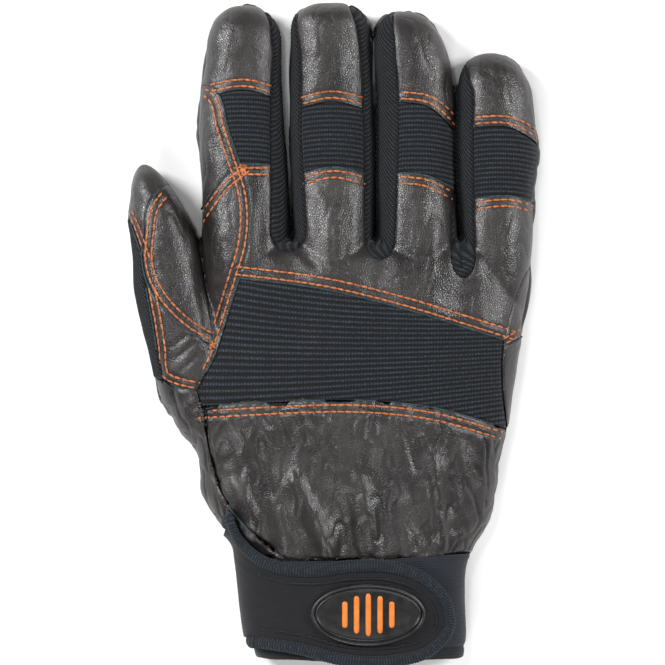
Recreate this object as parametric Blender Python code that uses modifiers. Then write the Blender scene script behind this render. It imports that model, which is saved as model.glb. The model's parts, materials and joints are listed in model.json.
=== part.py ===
"""A climbing glove for the right hand, lying palm down with its fingers along +Y.

Lengths are in metres. The glove is one hollow form, lofted through sections across it, and thin
seam cuts part it into the pieces that it is sewn from. The strap, its binding and the oval badge
are layered over the cuff.
"""

import math
from collections import namedtuple

import bmesh
import bpy
from mathutils import Vector
from mathutils.bvhtree import BVHTree

# Driving sizes: the widths are those at the line of the knuckles, the lengths run up from it
INDEX_WIDTH, INDEX_LENGTH = 0.0310, 0.0848
MIDDLE_WIDTH, MIDDLE_LENGTH = 0.0290, 0.0855
RING_WIDTH, RING_LENGTH = 0.0290, 0.0828
LITTLE_WIDTH, LITTLE_LENGTH = 0.0250, 0.0683
THUMB_WIDTH, THUMB_LENGTH = 0.0240, 0.0817
THUMB_REACH = 0.0245
THUMB_ROOT = 0.0517
FINGER_THICKNESS = 0.0190
THUMB_THICKNESS = 0.0210
PALM_LENGTH = 0.1010
HAND_THICKNESS = 0.0290
CUFF_LENGTH, CUFF_WIDTH, CUFF_THICKNESS = 0.0390, 0.0780, 0.0260
HEM_LENGTH = 0.0040
FINGER_WALL, PALM_WALL = 0.0017, 0.0020
CUFF_WALL = 0.0022
SEAM_GAP = 0.0003
PALM_SEAM_HEIGHT = 0.0060
STRAP_WALL = 0.0022
STRAP_FOOT = 0.0080
BINDING_WIDTH = 0.0032
BADGE_LENGTH, BADGE_WIDTH = 0.0394, 0.0214
BADGE_WALL, BADGE_RIM, BADGE_RIM_HEIGHT = 0.0012, 0.0018, 0.0007
RIDGE_WIDTH, RIDGE_HEIGHT, RIDGE_PITCH = 0.0018, 0.0005, 0.0040

# How the form is rounded and how finely it is cut
SETTLE = 0.0012
WAIST = 0.30
ROUND_TOP, ROUND_LOW = 2.35, 3.2
WRIST_ROUND_TOP = 2.7
LOW_CORNER = 0.0120
HAND_SIDES, FINGER_SIDES = 36, 16
HOLLOW_HAND_SIDES, HOLLOW_FINGER_SIDES = 20, 10
DOME_STEPS = (0.0, 0.45, 0.75, 0.92, 1.0)
DOME_LEAST = 0.14
ABOVE_ALL = 0.060
BELOW_ALL = 0.010
PAST_HEM = 0.0060
CUFF_AXIS = 0.455
FLAT_ANGLE = math.radians(0.2)
STEEPEST = 0.96

Row = namedtuple("Row", "along left right height")
Dome = namedtuple("Dome", "power root lean")
Digit = namedtuple("Digit", "width length thickness rows dome")

# Rows of a digit: along is a share of its length above its root, left and right are shares of
# its width from the left end of its root, and height is a share of its thickness
INDEX = Digit(INDEX_WIDTH, INDEX_LENGTH, FINGER_THICKNESS, (
    Row(-0.26, 0.10, 0.96, 0.90),
    Row(-0.14, 0.04, 1.00, 1.20),
    Row(0.04, 0.00, 1.00, 1.24),
    Row(0.20, 0.00, 0.98, 1.15),
    Row(0.37, -0.03, 0.95, 1.07),
    Row(0.53, -0.04, 0.915, 1.02),
    Row(0.65, -0.02, 0.893, 0.98),
    Row(0.772, 0.03, 0.883, 0.92),
), Dome(2.7, 0.43, 0.02))
MIDDLE = Digit(MIDDLE_WIDTH, MIDDLE_LENGTH, FINGER_THICKNESS, (
    Row(-0.26, 0.06, 0.96, 0.95),
    Row(-0.14, 0.02, 0.99, 1.26),
    Row(0.04, 0.02, 0.99, 1.34),
    Row(0.20, 0.00, 0.995, 1.22),
    Row(0.36, -0.02, 0.995, 1.10),
    Row(0.48, -0.03, 0.99, 1.04),
    Row(0.60, -0.02, 0.975, 1.00),
    Row(0.847, -0.01, 0.94, 0.90),
), Dome(3.2, 0.40, -0.01))
RING = Digit(RING_WIDTH, RING_LENGTH, FINGER_THICKNESS, (
    Row(-0.28, 0.06, 0.94, 0.95),
    Row(-0.15, 0.02, 0.99, 1.24),
    Row(0.04, 0.00, 0.99, 1.32),
    Row(0.21, 0.01, 0.96, 1.20),
    Row(0.37, 0.01, 0.95, 1.08),
    Row(0.62, 0.01, 0.95, 0.98),
    Row(0.729, 0.00, 0.93, 0.94),
), Dome(2.4, 0.40, -0.13))
LITTLE = Digit(LITTLE_WIDTH, LITTLE_LENGTH, FINGER_THICKNESS, (
    Row(-0.40, 0.08, 0.86, 0.80),
    Row(-0.20, 0.04, 0.95, 1.10),
    Row(0.00, 0.02, 1.00, 1.20),
    Row(0.10, 0.00, 1.01, 1.16),
    Row(0.30, -0.02, 1.03, 1.06),
    Row(0.52, -0.04, 1.11, 1.00),
    Row(0.64, -0.04, 1.06, 0.96),
    Row(0.732, -0.03, 1.04, 0.92),
), Dome(2.2, 0.42, -0.07))
THUMB = Digit(THUMB_WIDTH, THUMB_LENGTH, THUMB_THICKNESS, (
    Row(-0.06, 0.52, 1.75, 0.90),
    Row(0.00, 0.40, 1.71, 1.05),
    Row(0.10, 0.33, 1.64, 1.10),
    Row(0.22, 0.25, 1.49, 1.08),
    Row(0.35, 0.12, 1.31, 1.05),
    Row(0.47, 0.035, 1.16, 1.02),
    Row(0.60, 0.02, 1.06, 1.00),
    Row(0.69, -0.015, 0.96, 0.97),
    Row(0.78, -0.055, 0.82, 0.92),
    Row(0.865, -0.015, 0.65, 0.85),
), Dome(1.2, 0.60, -0.14))
FINGERS = {"index": INDEX, "middle": MIDDLE, "ring": RING, "little": LITTLE}

# Rows of the hand: along is a share of the palm's length below the knuckles, left and right are
# shares of the width of the four fingers, and height is a share of the hand's thickness
HAND_ROWS = (
    Row(-0.06, 0.06, 0.96, 0.40),
    Row(-0.03, 0.02, 0.985, 0.68),
    Row(0.01, 0.005, 0.995, 0.84),
    Row(0.06, 0.005, 0.985, 0.92),
    Row(0.12, 0.01, 0.975, 0.96),
    Row(0.18, 0.02, 0.972, 0.98),
    Row(0.25, 0.02, 0.972, 1.00),
    Row(0.32, 0.00, 0.966, 1.00),
    Row(0.38, -0.04, 0.958, 1.00),
    Row(0.44, -0.08, 0.950, 1.00),
    Row(0.52, -0.095, 0.938, 1.00),
    Row(0.62, -0.055, 0.927, 0.98),
    Row(0.68, -0.015, 0.915, 0.97),
    Row(0.75, -0.002, 0.900, 0.96),
    Row(0.84, 0.000, 0.882, 0.93),
    Row(0.92, 0.042, 0.864, 0.92),
)
# Rows of the cuff: along is a share of its length below the wrist, left and right are shares
# of its width from its middle, and height is a share of its thickness
CUFF_ROWS = (
    Row(0.00, -0.505, 0.555, 1.00),
    Row(0.15, -0.490, 0.515, 0.99),
    Row(0.35, -0.478, 0.502, 0.98),
    Row(0.60, -0.465, 0.502, 0.98),
    Row(0.80, -0.450, 0.506, 0.99),
    Row(1.00, -0.425, 0.492, 1.00),
)

# Ridges (above 0) and dents (below 0) of the soft back: ends as shares in the hand's frame,
# width and height as shares of the hand's thickness
Fold = namedtuple("Fold", "across0 along0 across1 along1 width height")
FOLDS = (
    Fold(0.285, 0.79, 0.39, 1.00, 0.13, 0.060),
    Fold(0.50, 0.80, 0.53, 0.98, 0.09, 0.035),
    Fold(0.70, 0.70, 0.73, 0.97, 0.10, 0.040),
    Fold(0.11, 0.66, 0.20, 0.93, 0.13, -0.045),
    Fold(0.600, 0.86, 0.65, 1.00, 0.10, -0.035),
    Fold(0.275, 0.05, 0.31, 0.25, 0.20, -0.055),
    Fold(0.535, 0.06, 0.54, 0.28, 0.20, -0.060),
    Fold(0.785, 0.12, 0.77, 0.30, 0.20, -0.055),
    Fold(0.38, 0.66, 0.60, 0.64, 0.22, 0.025),
)

# Side strips between two fingers: how wide the strip is on each finger at its tip and its
# root, as shares of that finger's width, and how far its foot reaches below the knuckles
Gap = namedtuple("Gap", "first second first_tip first_root second_tip second_root slit foot")
GAPS = (
    Gap("index", "middle", 0.125, 0.250, 0.110, 0.150, -0.04, 0.000),
    Gap("middle", "ring", 0.110, 0.120, 0.210, 0.220, -0.02, 0.028),
    Gap("ring", "little", -0.280, 0.110, 0.185, 0.190, 0.05, 0.092),
)
STRIP_TIP = 0.93
CROTCH_RISE = 0.075
STRIP_STEPS = 4
FOOT_STEPS = 4

# Seams across a finger: the edge of the cap and of the knuckle leather's tongue, each at its
# left, middle and right, as shares of the finger's length. Start is where the seam begins, as a
# share of the finger's width, on a finger with no side strip at its left
Crossing = namedtuple("Crossing", "finger left middle right start")
CROSSINGS = {
    "cap": (
        Crossing("index", 0.640, 0.656, 0.630, 0.20),
        Crossing("middle", 0.577, 0.603, 0.577, 0.0),
        Crossing("ring", 0.621, 0.604, 0.508, 0.0),
        Crossing("little", 0.625, 0.626, 0.525, 0.0),
    ),
    "tongue": (
        Crossing("index", 0.352, 0.352, 0.352, 0.44),
        Crossing("middle", 0.312, 0.337, 0.312, 0.0),
        Crossing("ring", 0.325, 0.312, 0.258, 0.0),
        Crossing("little", 0.263, 0.278, 0.242, 0.0),
    ),
}
CROSSING_OVERRUN = 0.10

# Points of the other seams. In a digit's frame, along is a share of its length and across a
# share of its width there. In the hand's frame, both are as in the rows of the hand
Stop = namedtuple("Stop", "frame across along")
INDEX_SIDE_EDGE = (
    Stop("index", -0.06, 0.676),
    Stop("index", 0.06, 0.678),
    Stop("index", 0.22, 0.640),
    Stop("index", 0.34, 0.510),
    Stop("index", 0.46, 0.360),
    Stop("index", 0.54, 0.250),
    Stop("index", 0.56, 0.130),
    Stop("hand", 0.142, -0.010),
    Stop("hand", 0.118, 0.080),
    Stop("hand", 0.064, 0.273),
    Stop("hand", 0.042, 0.348),
    Stop("hand", 0.015, 0.410),
    Stop("hand", -0.012, 0.471),
)
INDEX_SIDE_CROSS = (
    Stop("index", 0.46, 0.345),
    Stop("index", 0.24, 0.285),
    Stop("index", 0.06, 0.210),
    Stop("index", -0.10, 0.130),
)
THUMB_VALLEY = (
    Stop("hand", -0.012, -0.041),
    Stop("hand", 0.006, 0.068),
    Stop("hand", 0.027, 0.205),
    Stop("hand", 0.035, 0.290),
    Stop("hand", 0.045, 0.352),
)
KNUCKLE_EDGE = (
    Stop("hand", 0.115, 0.090),
    Stop("hand", 0.358, 0.126),
    Stop("hand", 0.600, 0.191),
    Stop("hand", 0.782, 0.253),
    Stop("hand", 0.928, 0.305),
)
WRIST_EDGE = (
    Stop("hand", 0.000, 0.526),
    Stop("hand", 0.236, 0.510),
    Stop("hand", 0.479, 0.505),
    Stop("hand", 0.691, 0.529),
    Stop("hand", 0.928, 0.604),
)
OUTER_SIDE_EDGE = (
    Stop("hand", 1.030, 0.010),
    Stop("hand", 0.985, 0.068),
    Stop("hand", 0.955, 0.140),
    Stop("hand", 0.930, 0.225),
    Stop("hand", 0.914, 0.307),
    Stop("hand", 0.909, 0.430),
    Stop("hand", 0.920, 0.540),
    Stop("hand", 0.936, 0.620),
    Stop("hand", 0.975, 0.665),
)
OUTER_SIDE_CROSS = (
    Stop("hand", 0.912, 0.325),
    Stop("hand", 0.985, 0.280),
)
THUMB_BASE_EDGE = (
    Stop("hand", -0.012, 0.471),
    Stop("hand", 0.003, 0.526),
    Stop("hand", 0.027, 0.700),
    Stop("hand", 0.064, 0.826),
    Stop("hand", 0.139, 0.939),
    Stop("hand", 0.250, 1.040),
)
THUMB_OVAL_EDGE = (
    Stop("thumb", 1.30, 0.940),
    Stop("thumb", 0.68, 0.886),
    Stop("thumb", 0.39, 0.823),
    Stop("thumb", 0.23, 0.705),
    Stop("thumb", 0.15, 0.599),
    Stop("thumb", 0.20, 0.506),
    Stop("thumb", 0.335, 0.401),
    Stop("thumb", 0.55, 0.300),
    Stop("hand", 0.041, 0.320),
)
THUMB_TIP_EDGE = (
    Stop("thumb", -0.15, 0.840),
    Stop("thumb", 0.07, 0.738),
    Stop("thumb", 0.16, 0.610),
)
THUMB_MESH_EDGE = (
    Stop("thumb", 0.16, 0.550),
    Stop("thumb", 0.185, 0.430),
    Stop("thumb", 0.165, 0.338),
    Stop("thumb", 0.117, 0.232),
    Stop("thumb", 0.100, 0.093),
)
THUMB_MESH_FOOT = (
    Stop("thumb", -0.15, 0.085),
    Stop("thumb", 0.100, 0.093),
    Stop("hand", -0.067, 0.461),
    Stop("hand", -0.012, 0.474),
)
PALM_THUMB_EDGE = (
    Stop("hand", -0.012, -0.041),
    Stop("hand", 0.006, 0.068),
    Stop("hand", 0.027, 0.205),
    Stop("hand", 0.030, 0.330),
    Stop("hand", -0.020, 0.450),
    Stop("hand", -0.170, 0.555),
)
CUFF_SEAM = 1.03
LAYER_START = 0.80

# The strap's outline along the middle of its binding: across is a share of the cuff's width
# from its middle, along a share of the cuff's length below the wrist
STRAP_EDGE = (
    Stop("cuff", -0.535, -0.206),
    Stop("cuff", -0.505, -0.070),
    Stop("cuff", -0.450, 0.055),
    Stop("cuff", -0.363, 0.156),
    Stop("cuff", -0.275, 0.200),
    Stop("cuff", -0.186, 0.209),
    Stop("cuff", -0.009, 0.165),
    Stop("cuff", 0.168, 0.174),
    Stop("cuff", 0.322, 0.289),
    Stop("cuff", 0.411, 0.492),
    Stop("cuff", 0.424, 0.714),
    Stop("cuff", 0.344, 0.900),
    Stop("cuff", 0.168, 0.996),
    Stop("cuff", -0.053, 0.979),
    Stop("cuff", -0.230, 0.890),
    Stop("cuff", -0.398, 0.846),
)
STRAP_STEPS = 2
STRAP_HEEL = 0.012
HEEL_STEPS = 3
BADGE_ACROSS, BADGE_ALONG = 0.070, 0.588
BADGE_SIDES = 32
RIDGE_SHARES = (0.42, 0.60, 0.68, 0.60, 0.42)

# Pieces by a point on their outer face, seen from above or from below
Seed = namedtuple("Seed", "name frame across along below finish")
SEEDS = (
    Seed("palm_leather", "hand", 0.50, 0.50, True, "leather"),
    Seed("thumb_front_leather", "thumb", 0.50, 0.50, True, "leather"),
    Seed("index_cap", "index", 0.50, 0.80, False, "leather"),
    Seed("middle_cap", "middle", 0.50, 0.80, False, "leather"),
    Seed("ring_cap", "ring", 0.50, 0.75, False, "leather"),
    Seed("little_cap", "little", 0.50, 0.75, False, "leather"),
    Seed("index_stretch", "index", 0.60, 0.50, False, "knit"),
    Seed("middle_stretch", "middle", 0.50, 0.45, False, "knit"),
    Seed("ring_stretch", "ring", 0.60, 0.45, False, "knit"),
    Seed("little_stretch", "little", 0.60, 0.45, False, "knit"),
    Seed("knuckle_leather", "hand", 0.40, 0.07, False, "leather"),
    Seed("hand_stretch", "hand", 0.45, 0.35, False, "knit"),
    Seed("back_leather", "hand", 0.50, 0.75, False, "leather"),
    Seed("fourchette_index_middle", "index", 0.94, 0.35, False, "mesh"),
    Seed("fourchette_middle_ring", "ring", 0.08, 0.35, False, "mesh"),
    Seed("fourchette_ring_little", "little", 0.10, 0.35, False, "mesh"),
    Seed("index_side_upper", "index", 0.12, 0.45, False, "leather"),
    Seed("index_side_lower", "index", 0.30, 0.15, False, "leather"),
    Seed("outer_side_upper", "hand", 0.955, 0.22, False, "leather"),
    Seed("outer_side_lower", "hand", 0.930, 0.45, False, "leather"),
    Seed("thumb_tip", "thumb", 0.30, 0.90, False, "leather"),
    Seed("thumb_oval", "thumb", 0.60, 0.60, False, "leather"),
    Seed("thumb_mesh", "thumb", 0.07, 0.40, False, "mesh"),
    Seed("thumb_gusset", "thumb", 0.35, 0.22, False, "leather"),
    Seed("thumb_base", "hand", -0.05, 0.58, False, "leather"),
    Seed("cuff", "cuff", 0.00, 0.50, False, "neoprene"),
    Seed("cuff_hem", "cuff", 0.00, 0.97, False, "elastic"),
)

Finish = namedtuple("Finish", "color roughness")
FINISHES = {
    "leather": Finish((0.050, 0.038, 0.034), 0.45),
    "knit": Finish((0.010, 0.014, 0.022), 0.85),
    "mesh": Finish((0.006, 0.007, 0.009), 0.90),
    "neoprene": Finish((0.009, 0.011, 0.018), 0.80),
    "elastic": Finish((0.006, 0.007, 0.010), 0.85),
    "binding": Finish((0.007, 0.009, 0.014), 0.80),
    "rubber": Finish((0.008, 0.008, 0.009), 0.40),
    "orange_rubber": Finish((0.85, 0.22, 0.02), 0.45),
}

# Places that follow from the driving sizes
KNUCKLE_WIDTH = sum(finger.width for finger in FINGERS.values())
STRAP_LIFT = SEAM_GAP + STRAP_WALL
FINGER_TOP = max(finger.length for finger in FINGERS.values())
STRAP_LOW = PALM_LENGTH + CUFF_LENGTH * max(stop.along for stop in STRAP_EDGE) + BINDING_WIDTH / 2
KNUCKLE_Y = (STRAP_LOW - FINGER_TOP) / 2
THUMB_LEFT = -THUMB_REACH + THUMB_WIDTH * min(row.left for row in THUMB.rows)
LITTLE_RIGHT = KNUCKLE_WIDTH + LITTLE_WIDTH * (max(row.right for row in LITTLE.rows) - 1.0)
KNUCKLE_X = -(THUMB_LEFT + LITTLE_RIGHT) / 2
CUFF_X = KNUCKLE_X + CUFF_AXIS * KNUCKLE_WIDTH
WRIST_Y = KNUCKLE_Y - PALM_LENGTH
HEM_Y = WRIST_Y - CUFF_LENGTH


def smooth_value(places, values, place):
    """The value at a place on a smooth curve through the rows, level past their ends."""
    if place <= places[0]:
        return values[0]
    if place >= places[-1]:
        return values[-1]
    steps = [b - a for a, b in zip(places, places[1:])]
    rises = [(b - a) / step for a, b, step in zip(values, values[1:], steps)]
    slopes = [rises[0]]
    for index in range(1, len(rises)):
        before, after = steps[index - 1], steps[index]
        slopes.append((rises[index - 1] * after + rises[index] * before) / (before + after))
    slopes.append(rises[-1])
    index = max(i for i, start in enumerate(places[:-1]) if start <= place)
    step = steps[index]
    t = (place - places[index]) / step
    start, end = values[index], values[index + 1]
    bend = (2 * t**3 - 3 * t**2 + 1) * start + (3 * t**2 - 2 * t**3) * end
    return bend + step * ((t**3 - 2 * t**2 + t) * slopes[index] + (t**3 - t**2) * slopes[index + 1])


def smooth_line(points, steps):
    """A smooth line through plan points, with some steps between each pair."""
    lengths = [0.0]
    for a, b in zip(points, points[1:]):
        lengths.append(lengths[-1] + (Vector(b) - Vector(a)).length)
    xs = [point[0] for point in points]
    ys = [point[1] for point in points]
    line = []
    for index in range(len(points) - 1):
        for step in range(steps):
            place = lengths[index] + (lengths[index + 1] - lengths[index]) * step / steps
            line.append((smooth_value(lengths, xs, place), smooth_value(lengths, ys, place)))
    line.append(tuple(points[-1]))
    return line


def digit_place(name):
    """The left end and the height up the page of a digit's root."""
    if name == "thumb":
        return KNUCKLE_X - THUMB_REACH, KNUCKLE_Y - THUMB_ROOT
    left = KNUCKLE_X
    for other, finger in FINGERS.items():
        if other == name:
            break
        left += finger.width
    return left, KNUCKLE_Y


def digit_of(name):
    """The table of a digit."""
    return THUMB if name == "thumb" else FINGERS[name]


def digit_section(name, along):
    """Left and right edge, lowest and highest point of a digit at a share of its length."""
    digit = digit_of(name)
    left_line = digit_place(name)[0]
    places = [row.along for row in digit.rows]
    start = places[-1]
    left = smooth_value(places, [row.left for row in digit.rows], along)
    right = smooth_value(places, [row.right for row in digit.rows], along)
    high = smooth_value(places, [row.height for row in digit.rows], along) * digit.thickness
    low = -SETTLE
    if along > start:
        u = min((along - start) / (1 - start), 1.0)
        keep = max((1 - u**digit.dome.power) ** digit.dome.root, DOME_LEAST)
        middle = (left + right) / 2 + digit.dome.lean * u
        half = (right - left) / 2 * keep
        left, right = middle - half, middle + half
        waist = WAIST * high
        low, high = waist + (low - waist) * keep, waist + (high - waist) * keep
    return left_line + left * digit.width, left_line + right * digit.width, low, high


def hand_section(y, lift=0.0):
    """Left and right edge, lowest and highest point of the hand and cuff, grown by lift."""
    places = [row.along * PALM_LENGTH for row in HAND_ROWS]
    places += [PALM_LENGTH + row.along * CUFF_LENGTH for row in CUFF_ROWS]
    lefts = [KNUCKLE_X + row.left * KNUCKLE_WIDTH for row in HAND_ROWS]
    lefts += [CUFF_X + row.left * CUFF_WIDTH for row in CUFF_ROWS]
    rights = [KNUCKLE_X + row.right * KNUCKLE_WIDTH for row in HAND_ROWS]
    rights += [CUFF_X + row.right * CUFF_WIDTH for row in CUFF_ROWS]
    highs = [row.height * HAND_THICKNESS for row in HAND_ROWS]
    highs += [row.height * CUFF_THICKNESS for row in CUFF_ROWS]
    place = KNUCKLE_Y - y
    left = smooth_value(places, lefts, place) - lift
    right = smooth_value(places, rights, place) + lift
    return left, right, -SETTLE, smooth_value(places, highs, place) + lift


def section_point(section, angle, round_top, floor):
    """A point (x, z) around a section: arched above its waist, rounded at its two low corners."""
    left, right, low, high = section
    middle, half = (left + right) / 2, (right - left) / 2
    waist = low + WAIST * (high - low)
    cosine, sine = math.cos(angle), math.sin(angle)
    if sine >= 0:
        reach = half * abs(cosine) ** (2 / round_top)
        z = waist + (high - waist) * sine ** (2 / round_top)
    else:
        corner = min(half, LOW_CORNER)
        reach = half - corner + corner * abs(cosine) ** (2 / ROUND_LOW)
        z = waist - (waist - low) * abs(sine) ** (2 / ROUND_LOW)
    return middle + math.copysign(reach, cosine), max(z, floor)


def plan_point(stop):
    """The place in the plan of a point that a table gives by its shares."""
    if stop.frame == "hand":
        return KNUCKLE_X + stop.across * KNUCKLE_WIDTH, KNUCKLE_Y - stop.along * PALM_LENGTH
    if stop.frame == "cuff":
        return CUFF_X + stop.across * CUFF_WIDTH, WRIST_Y - stop.along * CUFF_LENGTH
    left, right, _, _ = digit_section(stop.frame, stop.along)
    y = digit_place(stop.frame)[1] + stop.along * digit_of(stop.frame).length
    return left + stop.across * (right - left), y


def fold_height(x, y):
    """How far the soft back stands up or sinks in at a plan point."""
    height = 0.0
    here = Vector((x, y))
    for fold in FOLDS:
        start = Vector(plan_point(Stop("hand", fold.across0, fold.along0)))
        end = Vector(plan_point(Stop("hand", fold.across1, fold.along1)))
        run = end - start
        share = min(max((here - start).dot(run) / run.length_squared, 0.0), 1.0)
        away = (here - start - run * share).length / (fold.width * HAND_THICKNESS)
        height += fold.height * HAND_THICKNESS * math.exp(-away * away)
    return height


def cuff_point(x, y, lift):
    """A point straight above a plan point, this far off the outside of the hand or cuff."""
    left, right, low, high = hand_section(y)
    half, waist = (right - left) / 2, low + WAIST * (high - low)
    share = min(abs(x - (left + right) / 2) / half, STEEPEST)
    up = (1 - share**WRIST_ROUND_TOP) ** (1 / WRIST_ROUND_TOP)
    slope_x = share ** (WRIST_ROUND_TOP - 1) / half
    slope_z = up ** (WRIST_ROUND_TOP - 1) / (high - waist)
    normal_z = slope_z / math.hypot(slope_x, slope_z)
    fold = fold_height(x, y) * up ** (WRIST_ROUND_TOP / 2)
    return Vector((x, y, waist + up * (high - waist) + fold + lift / normal_z))


def add_object(name, mesh, collection):
    """A new object of this mesh in a collection."""
    made = bpy.data.objects.new(name, mesh)
    collection.objects.link(made)
    return made


def loft(name, rings, collection):
    """A closed solid through rings of equally many points, with flat ends."""
    shape = bmesh.new()
    loops = [[shape.verts.new(point) for point in ring] for ring in rings]
    sides = len(loops[0])
    for lower, upper in zip(loops, loops[1:]):
        for index in range(sides):
            after = (index + 1) % sides
            shape.faces.new((lower[index], lower[after], upper[after], upper[index]))
    shape.faces.new(loops[0])
    shape.faces.new(loops[-1])
    bmesh.ops.recalc_face_normals(shape, faces=shape.faces)
    mesh = bpy.data.meshes.new(name)
    shape.to_mesh(mesh)
    shape.free()
    return add_object(name, mesh, collection)


def ring_at(section, y, sides, round_top, wall=0.0):
    """One ring across the glove, or across its hollow when a wall is given."""
    ring = []
    for step in range(sides):
        angle = 2 * math.pi * (step + 0.5) / sides
        x, z = section_point(section, angle, round_top, wall)
        if not wall and math.sin(angle) > 0:
            z += fold_height(x, y) * math.sin(angle)
        ring.append((x, y, z))
    return ring


def shrink(section, wall):
    """A section drawn in by the wall."""
    left, right, low, high = section
    return left + wall, right - wall, low + wall, high - wall


def digit_loft(name, wall, sides, collection):
    """The outer form of a digit, or its hollow when a wall is given."""
    digit = digit_of(name)
    root_y = digit_place(name)[1]
    start = digit.rows[-1].along
    stations = [row.along for row in digit.rows[:-1]]
    stations += [start + (1 - start) * step for step in DOME_STEPS]
    rings = []
    for along in stations:
        section = digit_section(name, along)
        if wall:
            section = shrink(section, wall)
            if section[1] - section[0] < 2 * wall or section[3] - section[2] < 2 * wall:
                continue
        y = root_y + along * (digit.length - wall)
        rings.append(ring_at(section, y, sides, ROUND_TOP, wall))
    return loft(name, rings, collection)


def hand_loft(name, lift, collection, layer=False, reach=0.0):
    """The form of the hand and cuff grown by lift, or of its lower end alone for a layer."""
    first = LAYER_START if layer else HAND_ROWS[0].along
    stations = [KNUCKLE_Y - row.along * PALM_LENGTH for row in HAND_ROWS if row.along >= first]
    stations += [WRIST_Y - row.along * CUFF_LENGTH for row in CUFF_ROWS]
    if layer:
        stations = [stations[0] + PAST_HEM + reach] + stations + [HEM_Y - PAST_HEM - reach]
    rings = []
    for y in stations:
        rings.append(ring_at(hand_section(y, lift), y, HAND_SIDES, WRIST_ROUND_TOP))
    return loft(name, rings, collection)


def hand_hollow(collection):
    """The hollow of the hand and cuff, which runs out through the wrist's opening."""
    rings = []
    for row in HAND_ROWS[2::2]:
        y = KNUCKLE_Y - row.along * PALM_LENGTH
        section = shrink(hand_section(y), PALM_WALL)
        rings.append(ring_at(section, y, HOLLOW_HAND_SIDES, WRIST_ROUND_TOP, PALM_WALL))
    for row in CUFF_ROWS:
        y = WRIST_Y - row.along * CUFF_LENGTH
        section = shrink(hand_section(y), CUFF_WALL)
        rings.append(ring_at(section, y, HOLLOW_HAND_SIDES, WRIST_ROUND_TOP, CUFF_WALL))
    past = [(x, HEM_Y - PAST_HEM, z) for x, _, z in rings[-1]]
    return loft("hand_hollow", rings + [past], collection)


def evaluated_copy(source, name, collection):
    """A plain mesh object of what an object's modifiers make."""
    bpy.context.view_layer.update()
    graph = bpy.context.evaluated_depsgraph_get()
    mesh = bpy.data.meshes.new_from_object(source.evaluated_get(graph))
    mesh.transform(source.matrix_world)
    return add_object(name, mesh, collection)


def combine(first, others, operation, solver="EXACT"):
    """Joins other solids to the first, or takes them from it."""
    for other in others:
        step = first.modifiers.new(operation.lower(), "BOOLEAN")
        step.operation = operation
        step.solver = solver
        step.object = other


def prism(name, outline, low, high, collection):
    """A solid of a plan outline between two heights."""
    curve = bpy.data.curves.new(name, "CURVE")
    curve.dimensions = "2D"
    curve.fill_mode = "BOTH"
    curve.extrude = (high - low) / 2
    spline = curve.splines.new("POLY")
    spline.points.add(len(outline) - 1)
    for point, place in zip(spline.points, outline):
        point.co = (place[0], place[1], 0.0, 1.0)
    spline.use_cyclic_u = True
    return solid_of_curve(name, curve, Vector((0, 0, (high + low) / 2)), collection)


def solid_of_curve(name, curve, place, collection):
    """The welded mesh of a curve, in place of it."""
    drawn = add_object(name + "_curve", curve, collection)
    drawn.location = place
    made = evaluated_copy(drawn, name, collection)
    bpy.data.objects.remove(drawn)
    shape = bmesh.new()
    shape.from_mesh(made.data)
    bmesh.ops.remove_doubles(shape, verts=shape.verts, dist=1e-6)
    bmesh.ops.recalc_face_normals(shape, faces=shape.faces)
    shape.to_mesh(made.data)
    shape.free()
    return made


def seam_blade(name, line, low, high, collection):
    """A thin upright wall along a plan line, a little longer at both ends."""
    points = [Vector(point) for point in line]
    points[0] += (points[0] - points[1]).normalized() * SEAM_GAP
    points[-1] += (points[-1] - points[-2]).normalized() * SEAM_GAP
    curve = bpy.data.curves.new(name, "CURVE")
    curve.dimensions = "2D"
    curve.fill_mode = "NONE"
    curve.extrude = (high - low) / 2
    spline = curve.splines.new("POLY")
    spline.points.add(len(points) - 1)
    for point, place in zip(spline.points, points):
        point.co = (place.x, place.y, 0.0, 1.0)
    blade = solid_of_curve(name, curve, Vector((0, 0, (high + low) / 2)), collection)
    wall = blade.modifiers.new("wall", "SOLIDIFY")
    wall.thickness = SEAM_GAP
    wall.offset = 0.0
    wall.use_even_offset = True
    solid = evaluated_copy(blade, name + "_cut", collection)
    bpy.data.objects.remove(blade)
    shape = bmesh.new()
    shape.from_mesh(solid.data)
    bmesh.ops.recalc_face_normals(shape, faces=shape.faces)
    shape.to_mesh(solid.data)
    shape.free()
    return solid


def edge_of(name, y, right):
    """The plan place of a digit's left or right edge, carried straight up past its last row."""
    digit = digit_of(name)
    along = min((y - digit_place(name)[1]) / digit.length, digit.rows[-1].along)
    return digit_section(name, along)[1 if right else 0]


def slit_line(gap):
    """The line between two fingers, from past the shorter tip to the foot of the slit."""
    first, second = FINGERS[gap.first], FINGERS[gap.second]
    top = KNUCKLE_Y + min(first.length, second.length)
    foot = KNUCKLE_Y - gap.slit * PALM_LENGTH
    middle = (edge_of(gap.first, top, True) + edge_of(gap.second, top, False)) / 2
    line = [(middle, top + FINGER_THICKNESS)]
    for step in range(STRIP_STEPS + 1):
        y = top + (foot - top) * step / STRIP_STEPS
        line.append(((edge_of(gap.first, y, True) + edge_of(gap.second, y, False)) / 2, y))
    return line


def strip_edge(gap, name, along):
    """A plan point on the edge of a side strip, on one of its two fingers."""
    on_first = name == gap.first
    tip, root = (gap.first_tip, gap.first_root) if on_first else (gap.second_tip, gap.second_root)
    share = root + (tip - root) * min(max(along, 0.0), 1.0)
    digit = digit_of(name)
    left, right, _, _ = digit_section(name, along)
    y = digit_place(name)[1] + along * digit.length
    return (right - share * digit.width if on_first else left + share * digit.width), y


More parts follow.
